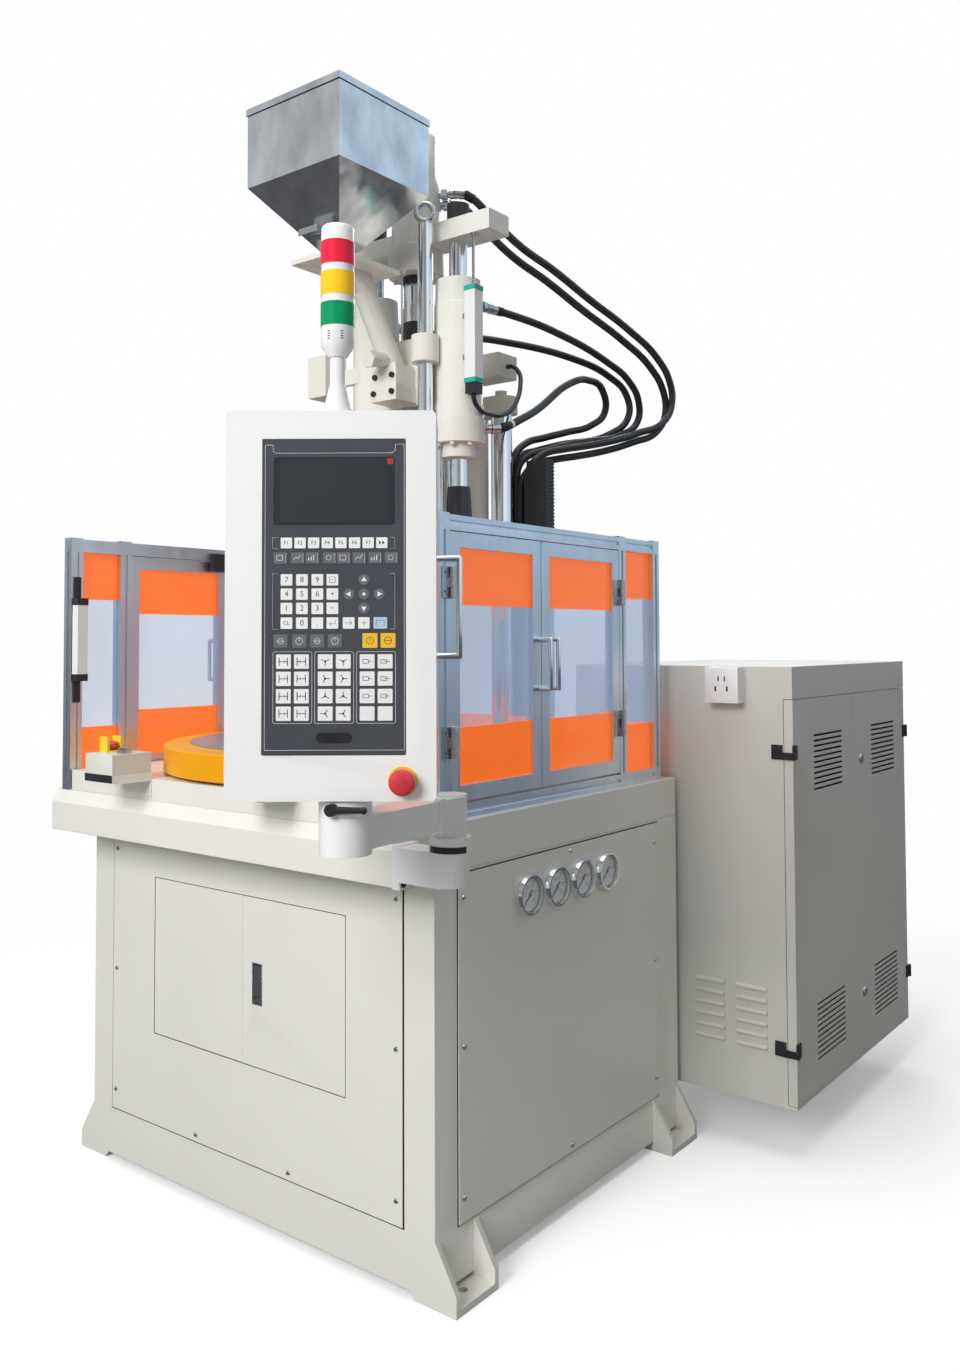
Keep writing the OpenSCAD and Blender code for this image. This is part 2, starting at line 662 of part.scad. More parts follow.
// Linear transducer: the ruler is on the right cylinder, its rod hangs from the crosshead
ruler_x = cyl_x + cyl_r + 14;
ruler_y = axis_y - 34;
ruler_z = cyl_low + 43;
ruler_h = 236;
ruler_rod_r = 3.5;
module transducer() {
    end_t = 12;
    color(white) difference() {
        span([ruler_x - 16, ruler_y - 16, ruler_z + end_t],
            [ruler_x + 16, ruler_y + 16, ruler_z + ruler_h - end_t]);
        bar(ruler_x, ruler_y, ruler_z + 60, ruler_z + ruler_h, ruler_rod_r + fit, 24);
    }
    color([0.1, 0.6, 0.5]) difference() {
        for (z = [ruler_z, ruler_z + ruler_h - end_t])
            span([ruler_x - 17, ruler_y - 17, z], [ruler_x + 17, ruler_y + 17, z + end_t]);
        bar(ruler_x, ruler_y, ruler_z + 60, ruler_z + ruler_h + 1, ruler_rod_r + fit, 24);
    }
    color(black) span([ruler_x - 15, ruler_y - 15, ruler_z - 26], [ruler_x + 15, ruler_y + 15, ruler_z]);
    color(steel) difference() {
        for (z = [ruler_z + 60, ruler_z + 160])
            span([ruler_x - 30, ruler_y - 6, z], [ruler_x - 16, ruler_y + 10, z + 14]);
        bar(cyl_x, axis_y, ruler_z, ruler_z + ruler_h, cyl_r, 64);
    }
}

/* Material feed */

feed_y = axis_y - 277;
plate_z = platen_top + 654;
plate_th = 12;
neck_w = 60;
module chute_form(r, z_top, z_low) {
    hull() {
        for (y = [feed_y + 6, feed_y + 66]) translate([0, y, z_top]) cylinder(r = r, h = 2, $fn = 32);
        translate([0, feed_y + 92, plate_z - 44]) cylinder(r = r, h = 2, $fn = 32);
    }
    hull() {
        translate([0, feed_y + 92, plate_z - 44]) cylinder(r = r, h = 2, $fn = 32);
        translate([0, axis_y - 86, z_low]) cylinder(r = r, h = 2, $fn = 32);
    }
}
module feed_chute() color(ivory) difference() {
    union() {
        span([-75, feed_y - 82, plate_z], [75, feed_y + 130, plate_z + plate_th]);
        chute_form(30, plate_z - 1, cyl_low + 100);
        translate([0, axis_y - 96, cyl_low + 121]) rotate([100, 0, 0]) cylinder(r = 19, h = 74, $fn = 32);
        translate([0, axis_y - 166, cyl_low + 109]) rotate([100, 0, 0]) cylinder(r = 23, h = 14, $fn = 6);
        span([-throat_w / 2 + 6, axis_y - 118, cyl_low + 96], [throat_w / 2 - 6, axis_y - 50, cyl_low + 106]);
    }
    chute_form(22, plate_z + plate_th - 1, cyl_low + 95);
}

hopper_z = plate_z + plate_th;
cone_z = hopper_z + 24;
box_z = hopper_z + hopper_cone_h;
hopper_top = box_z + hopper_box_h;
gate_z = cone_z + 30;

module square_loft(w0, z0, w1, z1) translate([0, feed_y, 0]) polyhedron(
    points = [for (c = [[w0 / 2, z0], [w1 / 2, z1]], p = [[-1, -1], [1, -1], [1, 1], [-1, 1]])
        [p[0] * c[0], p[1] * c[0], c[1]]],
    faces = [[0, 1, 2, 3], [7, 6, 5, 4], [0, 4, 5, 1], [1, 5, 6, 2], [2, 6, 7, 3], [3, 7, 4, 0]]);

module hopper() color(chrome) difference() {
    union() {
        span([-neck_w / 2, feed_y - neck_w / 2, hopper_z], [neck_w / 2, feed_y + neck_w / 2, cone_z + 0.5]);
        span([-46, feed_y - 46, hopper_z], [46, feed_y + 46, hopper_z + 4]);
        square_loft(neck_w, cone_z, hopper_w, box_z);
        span([-hopper_w / 2, feed_y - hopper_w / 2, box_z - 0.5],
            [hopper_w / 2, feed_y + hopper_w / 2, hopper_top]);
    }
    k = 2 * hopper_t;
    span([-neck_w / 2 + hopper_t, feed_y - neck_w / 2 + hopper_t, hopper_z - 1],
        [neck_w / 2 - hopper_t, feed_y + neck_w / 2 - hopper_t, cone_z + 1]);
    square_loft(neck_w - k, cone_z + 0.5, hopper_w - k, box_z + 0.5);
    span([-hopper_w / 2 + hopper_t, feed_y - hopper_w / 2 + hopper_t, box_z],
        [hopper_w / 2 - hopper_t, feed_y + hopper_w / 2 - hopper_t, hopper_top + 1]);
    span([-gate_w / 2 - 0.6, feed_y - 150, gate_z - 0.4], [gate_w / 2 + 0.6, feed_y, gate_z + 3.4]);
}

gate_w = 60;
module hopper_gate() color(steel) {
    span([-gate_w / 2, feed_y - 100, gate_z], [gate_w / 2, feed_y + 44, gate_z + 3]);
    span([-gate_w / 2, feed_y - 102, gate_z - 12], [gate_w / 2, feed_y - 99.5, gate_z + 3]);
}

module hopper_lid() color(chrome) difference() {
    span([-hopper_w / 2 - 3, feed_y - hopper_w / 2 - 3, hopper_top - 14],
        [hopper_w / 2 + 3, feed_y + hopper_w / 2 + 3, hopper_top + 2]);
    span([-hopper_w / 2 - 1, feed_y - hopper_w / 2 - 1, hopper_top - 15],
        [hopper_w / 2 + 1, feed_y + hopper_w / 2 + 1, hopper_top]);
}

/* Hoses: routes by hand, whose ends slide down a trough behind the guard */

trough_x0 = 24;
trough_x1 = 116;
trough_y0 = 414;
trough_y1 = 463;
trough_top = table_h + 434;
duct_x1 = 178;
duct_y1 = 454;
duct_top = table_h + 824;
duct_wall = 3;
module hose_duct() color(black) difference() {
    union() {
        span([trough_x0, trough_y0, table_h], [trough_x1, trough_y1, trough_top]);
        span([trough_x1, trough_y0, table_h], [duct_x1, duct_y1, duct_top]);
        for (i = [0 : 36]) span([trough_x1 + 4, trough_y0, table_h + 470 + i * 9.5],
            [duct_x1 + 1.5, duct_y1 + 1.5, table_h + 475 + i * 9.5]);
    }
    span([trough_x0 + duct_wall, trough_y0 + duct_wall, table_h - 1],
        [trough_x1 - duct_wall, trough_y1 - duct_wall, trough_top + 1]);
    span([trough_x1 + duct_wall, trough_y0 + duct_wall, table_h + duct_wall],
        [duct_x1 - duct_wall, duct_y1 - duct_wall, duct_top + 1]);
}

hose_r = 10;
cable_r = 6;
motor_port = [92, 142, motor_low + 41];
port_step = [-21.5, 0, -25];
top_port = [150, 205, cyl_top - 42];
low_port = [180, 170, cyl_low - 47];

// Heights of the routes are from the top of the upper platen
motor_route = [[92.3, 142.1, 910], [105, 148.3, 910], [126, 170, 898], [146, 221, 859], [182, 301, 799],
    [230, 379, 748], [268, 490, 692], [290, 670, 640], [300, 810, 588], [305, 874, 530], [306, 884, 470],
    [300, 845, 410], [274, 740, 364], [240, 640, 330], [198, 572, 312], [160, 528, 302], [125, 490, 289],
    [105, 459, 260], [101.7, 440, 220], [101.7, 440, -300]];
right_route = [[150, 205.3, 620], [150, 214, 620], [154, 260, 622], [180, 460, 610], [203, 710, 566],
    [210, 800, 534], [213, 852, 482], [206, 856, 422], [182, 785, 373], [152, 660, 342], [122, 575, 320],
    [97, 529, 304], [73, 489, 289], [61, 460, 260], [59, 449, 220], [59, 449, -325]];
left_route = [[-150, 205.3, 620], [-150, 214, 620], [-146, 260, 622], [-100, 360, 626], [-10, 470, 618],
    [120, 640, 582], [166, 765, 546], [182, 836, 500], [184, 842, 438], [160, 780, 382], [98, 590, 328],
    [71, 529, 308], [49, 489, 292], [39.5, 460, 260], [38, 449, 220], [38, 449, -325]];
low_route = [[180.2, 170.3, 304], [187, 182, 304], [198, 212, 313], [202, 270, 340], [200, 340, 374],
    [186, 520, 478], [177, 630, 510], [168, 725, 496], [158, 752, 442], [142, 705, 398], [116, 610, 366],
    [92, 540, 344], [66, 478, 320], [52, 441, 275], [48, 429, 230], [48, 429, -325]];
cable_route = [[212, 63, 367.7], [212, 63, 359], [212, 74, 342], [204, 140, 332], [192, 232, 354],
    [178, 288, 396], [167, 318, 442], [156, 330, 474], [141, 332, 493], [128, 332, 499.5],
    [115.3, 332, 500]];

function unit_vec(v) = v / norm(v);
function along(p, i) = unit_vec(p[min(i + 1, len(p) - 1)] - p[max(i - 1, 0)]);
function across(t) = unit_vec([1, 0.2, 0] - t * (t * [1, 0.2, 0]));
function ring(c, t, r, n) = [for (k = [0 : n - 1])
    c + r * cos(k * 360 / n) * across(t) + r * sin(k * 360 / n) * cross(t, across(t))];
function moved(route, by) = [for (p = route) p + by];

module tube(route, r, n = 10) {
    m = len(route);
    pts = [for (i = [0 : m - 1]) each ring(route[i], along(route, i), r, n)];
    sides = [for (i = [0 : m - 2], k = [0 : n - 1])
        [i * n + k, (i + 1) * n + k, (i + 1) * n + (k + 1) % n, i * n + (k + 1) % n]];
    polyhedron(points = pts, faces = concat([[for (k = [0 : n - 1]) k]], sides,
        [[for (k = [n - 1 : -1 : 0]) (m - 1) * n + k]]), convexity = 10);
}

module motor_hoses() color(black) translate([0, 0, platen_top]) {
    tube(motor_route, hose_r);
    tube(moved(motor_route, port_step), hose_r);
}
module unit_hoses() color(black) translate([0, 0, platen_top]) {
    tube(right_route, hose_r);
    tube(left_route, hose_r);
    tube(low_route, hose_r);
    tube(cable_route, cable_r, 8);
}

// Pipe fitting that ends at a point p, pointing along +X turned by a
module fitting(p, a, len) translate(p) rotate([0, 90, a]) translate([0, 0, -len]) {
    cylinder(r = 10, h = len, $fn = 24);
    translate([0, 0, len - 34]) cylinder(r = 15, h = 16, $fn = 6);
    translate([0, 0, len - 14]) cylinder(r = 12.5, h = 14, $fn = 24);
}

/* Guard */

guard_x = guard_w / 2;
guard_z0 = table_h;
guard_z1 = table_h + guard_h;
post_front = -432;
left_front = ledge_y + 14;
mull_y = 222;
post_rear = 383;
panel_end = 340;
door_z0 = guard_z0 + prof + 4;
door_z1 = guard_z1 - prof - 2;
meet_y = -97;
stile = 30;

module post(x, y, z0 = guard_z0) difference() {
    span([x, y, z0], [x + prof, y + prof, guard_z1]);
    for (a = [[x + prof / 2, y - 1], [x + prof / 2, y + prof - 3]])
        span([a[0] - 4, a[1], guard_z0 + prof], [a[0] + 4, a[1] + 4, guard_z1 - prof]);
    for (a = [[x - 1, y + prof / 2], [x + prof - 3, y + prof / 2]])
        span([a[0], a[1] - 4, guard_z0 + prof], [a[0] + 4, a[1] + 4, guard_z1 - prof]);
}

module rail_y(x, y0, y1, z, out) difference() {
    span([x, y0, z], [x + prof, y1, z + prof]);
    slot = out > 0 ? x + prof - 3 : x - 1;
    span([slot, y0 + 1, z + prof / 2 - 4], [slot + 4, y1 - 1, z + prof / 2 + 4]);
}

module rail_x(x0, x1, y, z, out) difference() {
    span([x0, y, z], [x1, y + prof, z + prof]);
    slot = out > 0 ? y + prof - 3 : y - 1;
    span([x0 + 1, slot, z + prof / 2 - 4], [x1 - 1, slot + 4, z + prof / 2 + 4]);
}

hinge_out = 7.3;
hinge_r = 5;
hinge_len = 60;
hinge_zs = [guard_z0 + 118, guard_z1 - 160];
// Fixed half of a guard hinge: leaf, middle knuckle and pin, at a door edge
module fixed_leaf(y, s) for (z = hinge_zs) translate([guard_x, y, z]) {
    translate([0, s > 0 ? -24 : 0, 0]) difference() {
        cube([2, 24, hinge_len]);
        for (h = [12, hinge_len - 12]) translate([-1, s > 0 ? 8 : 16, h]) rotate([0, 90, 0])
            cylinder(r = 2.5, h = 4, $fn = 16);
    }
    translate([hinge_out, 0, hinge_len / 3 + 0.4]) cylinder(r = hinge_r, h = hinge_len / 3 - 0.8, $fn = 24);
    translate([hinge_out, 0, 0]) cylinder(r = 2.5, h = hinge_len, $fn = 20);
    translate([0, s > 0 ? -6 : 0, hinge_len / 3 + 0.4]) cube([hinge_out, 6, hinge_len / 3 - 0.8]);
}

module guard_frame() {
    color(grey) {
        for (y = [post_front, mull_y, post_rear]) both_sides() post(guard_x - prof, y);
        post(-guard_x, left_front);
        post(panel_end, post_front, deck_top);
        both_sides() for (z = [guard_z0, guard_z1 - prof]) {
            rail_y(guard_x - prof, post_front + prof, mull_y, z, 1);
            rail_y(guard_x - prof, mull_y + prof, post_rear, z, 1);
        }
        for (z = [guard_z0, guard_z1 - prof]) {
            rail_y(-guard_x, left_front + prof, post_front, z, -1);
            rail_x(-guard_x + prof, guard_x - prof, post_rear, z, 1);
            rail_x(panel_end + prof, guard_x - prof, post_front, max(z, deck_top), -1);
        }
    }
    color(steel) both_sides() {
        fixed_leaf(post_front + prof, 1);
        fixed_leaf(mull_y, -1);
    }
    color(black) {
        cap_x = guard_x - prof / 2;
        for (p = concat([for (y = [post_front, mull_y, post_rear], x = [-cap_x, cap_x]) [x, y]],
            [[-cap_x, left_front], [panel_end + prof / 2, post_front]]))
            span([p[0] - prof / 2, p[1], guard_z1], [p[0] + prof / 2, p[1] + prof, guard_z1 + 3]);
    }
}

// Three panes in one opening: orange, clear, orange, held in a groove of depth g
module panes_yz(x, y0, y1, z0, z1, g = 6) {
    color(orange) span([x, y0 - g, z0 - g], [x + pane_t, y1 + g, z0 + band_bottom]);
    color(clear) span([x, y0 - g, z0 + band_bottom + 0.4], [x + pane_t, y1 + g, z1 - band_top - 0.4]);
    color(orange) span([x, y0 - g, z1 - band_top], [x + pane_t, y1 + g, z1 + g]);
}

module panes_xz(y, x0, x1, z0, z1) translate([0, y, 0]) mirror([1, -1, 0]) panes_yz(0, x0, x1, z0, z1, 0);

module guard_panes() {
    z0 = guard_z0 + prof + 0.3;
    z1 = guard_z1 - prof - 0.3;
    both_sides() panes_yz(guard_x - prof / 2 - pane_t / 2, mull_y + prof + 0.3, post_rear - 0.3, z0, z1, 0);
    panes_yz(-guard_x + prof / 2 - pane_t / 2, left_front + prof + 0.3, post_front - 0.3, z0, z1, 0);
    panes_xz(post_front + prof / 2 - pane_t / 2, panel_end + prof + 0.3, guard_x - prof - 0.3,
        deck_top + prof + 0.3, z1);
    panes_xz(post_rear + prof / 2 - pane_t / 2, -guard_x + prof + 0.3, guard_x - prof - 0.3, z0, z1);
}

// A guard door of the right side from y0 to y1, hung at y0 when s is 1 and at y1 when s is -1
module guard_door(y0, y1, s) {
    x0 = guard_x - leaf_t;
    hy = s > 0 ? y0 : y1;
    ky = s > 0 ? y1 - stile / 2 : y0 + stile / 2;
    a = [y0 + 0.8, y1 - 0.8];
    color(grey) difference() {
        span([x0, a[0], door_z0], [guard_x - 0.4, a[1], door_z1]);
        span([x0 - 1, a[0] + stile, door_z0 + stile], [guard_x + 1, a[1] - stile, door_z1 - stile]);
        span([x0 + leaf_t / 2 - pane_t / 2 - 0.3, a[0] + stile - 7, door_z0 + stile - 7],
            [x0 + leaf_t / 2 + pane_t / 2 + 0.3, a[1] - stile + 7, door_z1 - stile + 7]);
    }
    panes_yz(x0 + leaf_t / 2 - pane_t / 2, a[0] + stile, a[1] - stile, door_z0 + stile, door_z1 - stile);
    color(steel) for (z = hinge_zs) translate([guard_x, hy, z]) {
        for (h = [0, hinge_len * 2 / 3]) {
            difference() {
                translate([hinge_out, 0, h]) cylinder(r = hinge_r, h = hinge_len / 3, $fn = 24);
                translate([hinge_out, 0, h - 1]) cylinder(r = 2.5 + fit, h = hinge_len / 3 + 2, $fn = 20);
            }
            translate([-0.4, s > 0 ? 3.4 : -7.4, h]) cube([hinge_out - 1, 4, hinge_len / 3]);
        }
        translate([-0.4, s > 0 ? 3.4 : -25.4, 0]) cube([2.4, 22, hinge_len]);
    }
    color(chrome) translate([guard_x - 0.4, ky, (door_z0 + door_z1) / 2 - 56]) pull_handle(112, 38, 5);
}

// U handle that stands out along +X, with its legs h apart along Z
module pull_handle(h, out, r) {
    for (z = [r, h - r]) {
        translate([0, 0, z]) rotate([0, 90, 0]) cylinder(r = r, h = out - r, $fn = 24);
        translate([out - r, 0, z]) sphere(r = r, $fn = 24);
    }
    translate([out - r, 0, r]) cylinder(r = r, h = h - 2 * r, $fn = 24);
}

module guard_door_right_front() guard_door(post_front + prof, meet_y, 1);
module guard_door_right_rear() guard_door(meet_y, mull_y, -1);
module guard_door_left_front() mirror([1, 0, 0]) guard_door(post_front + prof, meet_y, 1);
module guard_door_left_rear() mirror([1, 0, 0]) guard_door(meet_y, mull_y, -1);

// Light curtain bars on the left front post and the panel's post, and the door switches
module guard_sensors() {
    lx = -guard_x + prof;
    ly = left_front + 14;
    color(white) span([lx + 3, ly - 13, guard_z0 + 266], [lx + 25, ly + 13, guard_z0 + 426]);
    color(white) span([panel_end - 25, post_front - 21, guard_z0 + 266],
        [panel_end - 3, post_front + 5, guard_z0 + 426]);
    color(black) {
        for (z = [guard_z0 + 250, guard_z0 + 426]) {
            span([lx, ly - 14, z], [lx + 26, ly + 14, z + 16]);
            span([panel_end - 26, post_front - 22, z], [panel_end, post_front + 6, z + 16]);
        }
        for (z = [guard_z0 + 200, guard_z0 + 442]) {
            span([lx, ly - 8, z], [lx + 5, ly + 8, z + 50]);
            span([panel_end - 5, post_front - 16, z], [panel_end, post_front, z + 50]);
        }
        both_sides()
            span([guard_x - prof - 16, meet_y - 66, door_z1 - 26],
                [guard_x - prof, meet_y - 6, door_z1 + 20]);
    }
}

/* Two-hand control boxes on brackets at the front */

ctrl_w = 98;
ctrl_x = 228;
ctrl_y0 = deck_front - 99;
ctrl_z = deck_top;
module control_boxes() for (s = [-1, 1]) translate([s * ctrl_x - ctrl_w / 2, 0, 0]) {
    color(ivory) {
        span([0, ctrl_y0 + 12, ctrl_z - 3], [ctrl_w, deck_front, ctrl_z]);
        span([0, deck_front - 3, ctrl_z - 38], [ctrl_w, deck_front, ctrl_z]);
    }
    color(black) {
        span([0, ctrl_y0, ctrl_z], [ctrl_w, deck_front - 0.5, ctrl_z + 16]);
        translate([ctrl_w - 20, deck_front, ctrl_z - 3]) rotate([0, 90, 0])
            rotate_extrude(angle = 90, $fn = 48) translate([-38, 0]) circle(r = 6, $fn = 20);
    }
    color([0.80, 0.79, 0.75]) difference() {
        span([1, ctrl_y0 + 1, ctrl_z + 16], [ctrl_w - 1, deck_front - 1.5, ctrl_z + 58]);
        for (x = [24, 72]) bar(x, ctrl_y0 + 48, ctrl_z + 40, ctrl_z + 59, 8 + fit, 32);
    }
    color(yellow) translate([24, ctrl_y0 + 48, ctrl_z + 58]) difference() {
        union() {
            cylinder(r = 19, h = 4, $fn = 32);
            for (y = [-19, 13]) translate([-14, y, 0]) cube([28, 6, 34]);
        }
        translate([0, 0, -1]) cylinder(r = 8 + fit, h = 6, $fn = 32);
        translate([0, 0, 4]) cylinder(r = 16.5, h = 40, $fn = 32);
    }
    color(steel) translate([72, ctrl_y0 + 48, ctrl_z + 58]) difference() {
        cylinder(r = 15, h = 9, $fn = 32);
        translate([0, 0, 2]) cylinder(r = 12.5, h = 8, $fn = 32);
        translate([0, 0, -1]) cylinder(r = 8 + fit, h = 11, $fn = 32);
    }
}

module stop_button(s) color(red) translate([s * ctrl_x - ctrl_w / 2 + 24, ctrl_y0 + 48, ctrl_z + 44]) {
    cylinder(r = 8, h = 24, $fn = 32);
    translate([0, 0, 24]) rotate_extrude($fn = 32)
        polygon([[0, 0], [14, 0], [16, 3], [15, 9], [9, 13], [0, 14]]);
}
module start_button(s) color(steel) translate([s * ctrl_x - ctrl_w / 2 + 72, ctrl_y0 + 48, ctrl_z + 44]) {
    cylinder(r = 8, h = 22, $fn = 32);
    translate([0, 0, 20]) cylinder(r = 12, h = 6, $fn = 32);
}
module start_button_left() start_button(-1);
module start_button_right() start_button(1);
module stop_button_left() stop_button(-1);
module stop_button_right() stop_button(1);

/* Electrical cabinet behind the base */

cab_x1 = side_x + cab_out;
cab_x0 = cab_x1 - cab_w;
cab_y0 = rear_y + 20;
cab_y1 = cab_y0 + cab_d;
cab_z0 = sill_h - 2;
cab_z1 = cab_z0 + cab_h;
cab_t = 3;
cab_door_z0 = cab_z0 + 8;
cab_door_z1 = cab_z1 - cab_head;
cab_mid = cab_y0 + cab_d / 2;
cab_door_t = 22;

// Rows of pressed half-round louvres, w wide
module louvres(cols, rows, w, pitch) for (c = [0 : cols - 1], r = [0 : rows - 1])
    translate([c * (w + 30), 0, r * pitch]) rotate([0, 90, 0]) intersection() {
        cylinder(r = 6, h = w, $fn = 24);
        translate([-6, -6, 0]) cube([12, 6, w]);
    }

module cabinet() color(ivory) {
    difference() {
        span([cab_x0, cab_y0, cab_z0], [cab_x1, cab_y1, cab_z1]);
        span([cab_x0 + cab_t, cab_y0 + cab_t, cab_z0 + cab_t], [cab_x1 - 30, cab_y1 - cab_t, cab_z1 - cab_t]);
        span([cab_x1 - 40, cab_y0 + 20, cab_z0 + 30], [cab_x1 + 1, cab_y1 - 20, cab_door_z1 - 20]);
        span([cab_x1 - cab_door_t - 1, cab_y0 - 1, cab_door_z0 - 1.2],
            [cab_x1 + 1, cab_y1 + 1, cab_door_z1 + 1.2]);
    }
    span([cab_x0 + 20, cab_y0 + 60, cab_z0 + 40], [cab_x0 + 24, cab_y1 - 60, cab_door_z1 - 60]);
    span([cab_x0 + cab_t, cab_y0 + 60, cab_z0 + 200], [cab_x0 + 20, cab_y1 - 60, cab_z0 + 230]);
    translate([side_x + 40, cab_y0, cab_z0 + 128]) louvres(2, 6, 78, 27);
    wall_socket();
    for (z = [cab_z0 + 60, cab_z0 + 300])
        span([cab_x0 + 40, rear_y + panel_t, z], [side_x - 40, cab_y0, z + 40]);
    fixed_hinges();
    translate([0, cab_y0 + cab_y1, 0]) mirror([0, 1, 0]) fixed_hinges();
}

// Door of the cabinet from y0 to y1, a folded tray with ventilation slots
module cab_door(y0, y1) {
    x1 = cab_x1;
    a = [y0 + 1, y1 - 1];
    difference() {
        span([x1 - cab_door_t, a[0], cab_door_z0], [x1, a[1], cab_door_z1]);
        span([x1 - cab_door_t - 1, a[0] + 2, cab_door_z0 + 2], [x1 - 2.5, a[1] - 2, cab_door_z1 - 2]);
        for (z = [cab_door_z0 + 70, cab_door_z1 - 224], i = [0 : 10])
            translate([x1 - 4, y0 + 130, z + i * 13]) cube([6, 190, 5]);
    }
}

// Corner hinges: the fixed half wraps the cabinet's side, the moving half lies on the door
cab_hinge_zs = [cab_door_z0 + 110, cab_door_z1 - 140];
cab_hinge_x = cab_x1 + 4;
cab_hinge_y = cab_y0 - 2;
cab_hinge_h = 34;
module fixed_hinges() color(black) for (z = cab_hinge_zs) {
    span([cab_x1 - 52, cab_y0 - 4, z], [cab_hinge_x, cab_y0, z + cab_hinge_h / 2 - 0.3]);
    span([cab_x1 - 52, cab_y0 - 4, z], [cab_x1 - cab_door_t - 3, cab_y0, z + cab_hinge_h]);
    bar(cab_hinge_x, cab_hinge_y, z, z + cab_hinge_h / 2 - 0.3, 4.5, 24);
    bar(cab_hinge_x, cab_hinge_y, z, z + cab_hinge_h, 2.5, 24);
}
module moving_hinges() color(black) for (z = cab_hinge_zs) difference() {
    union() {
        bar(cab_hinge_x, cab_hinge_y, z + cab_hinge_h / 2, z + cab_hinge_h, 4.5, 24);
        span([cab_x1, cab_hinge_y, z + cab_hinge_h / 2], [cab_x1 + 4, cab_y0 + 20, z + cab_hinge_h]);
        span([cab_x1, cab_y0 + 5, z], [cab_x1 + 4, cab_y0 + 20, z + cab_hinge_h]);
    }
    bar(cab_hinge_x, cab_hinge_y, z, z + cab_hinge_h + 1, 2.5 + fit, 24);
}

module cabinet_door_front() {
    color(ivory) cab_door(cab_y0, cab_mid);
    moving_hinges();
}
module cabinet_door_rear() {
    color(ivory) difference() {
        cab_door(cab_mid, cab_y1);
        for (z = [lock_low, lock_high]) translate([cab_x1 - 5, lock_y, z]) rotate([0, 90, 0])
            cylinder(r = 11 + fit, h = 8, $fn = 32);
    }
    translate([0, cab_y0 + cab_y1, 0]) mirror([0, 1, 0]) moving_hinges();
}

lock_y = cab_mid + 48;
lock_low = cab_door_z0 + 155;
lock_high = cab_door_z1 - 174;
module quarter_lock(z) color(steel) translate([cab_x1 - 8, lock_y, z]) rotate([0, 90, 0]) {
    difference() {
        union() {
            cylinder(r = 11, h = 10, $fn = 32);
            translate([0, 0, 8]) cylinder(r1 = 13, r2 = 11, h = 4, $fn = 32);
        }
        translate([-2, -8, 10]) cube([4, 16, 3]);
    }
    translate([-8, -30, -5]) cube([16, 38, 5]);
}
module cabinet_lock_upper() quarter_lock(lock_high);
module cabinet_lock_lower() quarter_lock(lock_low);

socket_x = side_x + 92;
module wall_socket() difference() {
    span([socket_x, cab_y0 - 38, cab_z1 - 88], [socket_x + 86, cab_y0, cab_z1 - 2]);
    for (x = [26, 56])
        span([socket_x + x, cab_y0 - 39, cab_z1 - 60], [socket_x + x + 4, cab_y0 - 30, cab_z1 - 48]);
    for (x = [34, 50])
        span([socket_x + x, cab_y0 - 39, cab_z1 - 36], [socket_x + x + 3, cab_y0 - 30, cab_z1 - 24]);
}

/* Control panel on its swing arm */

joint2 = [side_x + 118, ledge_y + 18];
joint1 = [side_x + 138, ledge_y - 256];
arm_z = table_h - 74;
arm_r = 32;
link_z0 = arm_z + 96;
link_z1 = arm_z + 154;

module arm_base() {
    color(white) difference() {
        union() {
            span([side_x, ledge_y, arm_z - 20], [side_x + 18, ledge_y + 52, arm_z + 58]);
            span([side_x + 12, joint2[1] - 26, arm_z - 4], [joint2[0], joint2[1] + 26, arm_z + 56]);
            bar(joint2[0], joint2[1], arm_z, arm_z + 58, arm_r, 48);
            bar(joint2[0], joint2[1], arm_z + 58, arm_z + 69, arm_r + 4, 48);
        }
        bar(joint2[0], joint2[1], arm_z + 20, arm_z + 70, 14 + fit, 32);
    }
    color(black) for (z = [arm_z - 10, arm_z + 48]) translate([side_x + 18, ledge_y + 9, z]) rotate([0, 90, 0])
        cylinder(r = 6, h = 2, $fn = 24);
}

link_len = norm([joint1[0] - joint2[0], joint1[1] - joint2[1]]);
link_dir = atan2(joint1[1] - joint2[1], joint1[0] - joint2[0]);
module arm_link() color(white) difference() {
    union() {
        bar(joint2[0], joint2[1], arm_z + 24, arm_z + 70, 14, 32);
        bar(joint2[0], joint2[1], arm_z + 69.3, arm_z + 83, arm_r + 3, 48);
        bar(joint2[0], joint2[1], arm_z + 83, link_z1, arm_r - 4, 48);
        bar(joint1[0], joint1[1], link_z0, link_z1, 40, 48);
        translate([joint2[0], joint2[1], 0]) rotate([0, 0, link_dir]) {
            span([0, -30, link_z0 + 6], [link_len, 30, link_z1 - 2]);
            span([60, -33, link_z0 + 3], [76, 33, link_z1 + 1]);
        }
    }
    bar(joint1[0], joint1[1], link_z0 + 16, link_z1 + 1, 16 + fit, 32);
}

// Places a child given in the panel's own frame: X across its face, -Y outwards, Z up
module on_hmi() translate([joint1[0], joint1[1], 0]) rotate([0, 0, hmi_turn])
    translate([-17, -45, 0]) children();
hmi_z = link_z1 + 26;

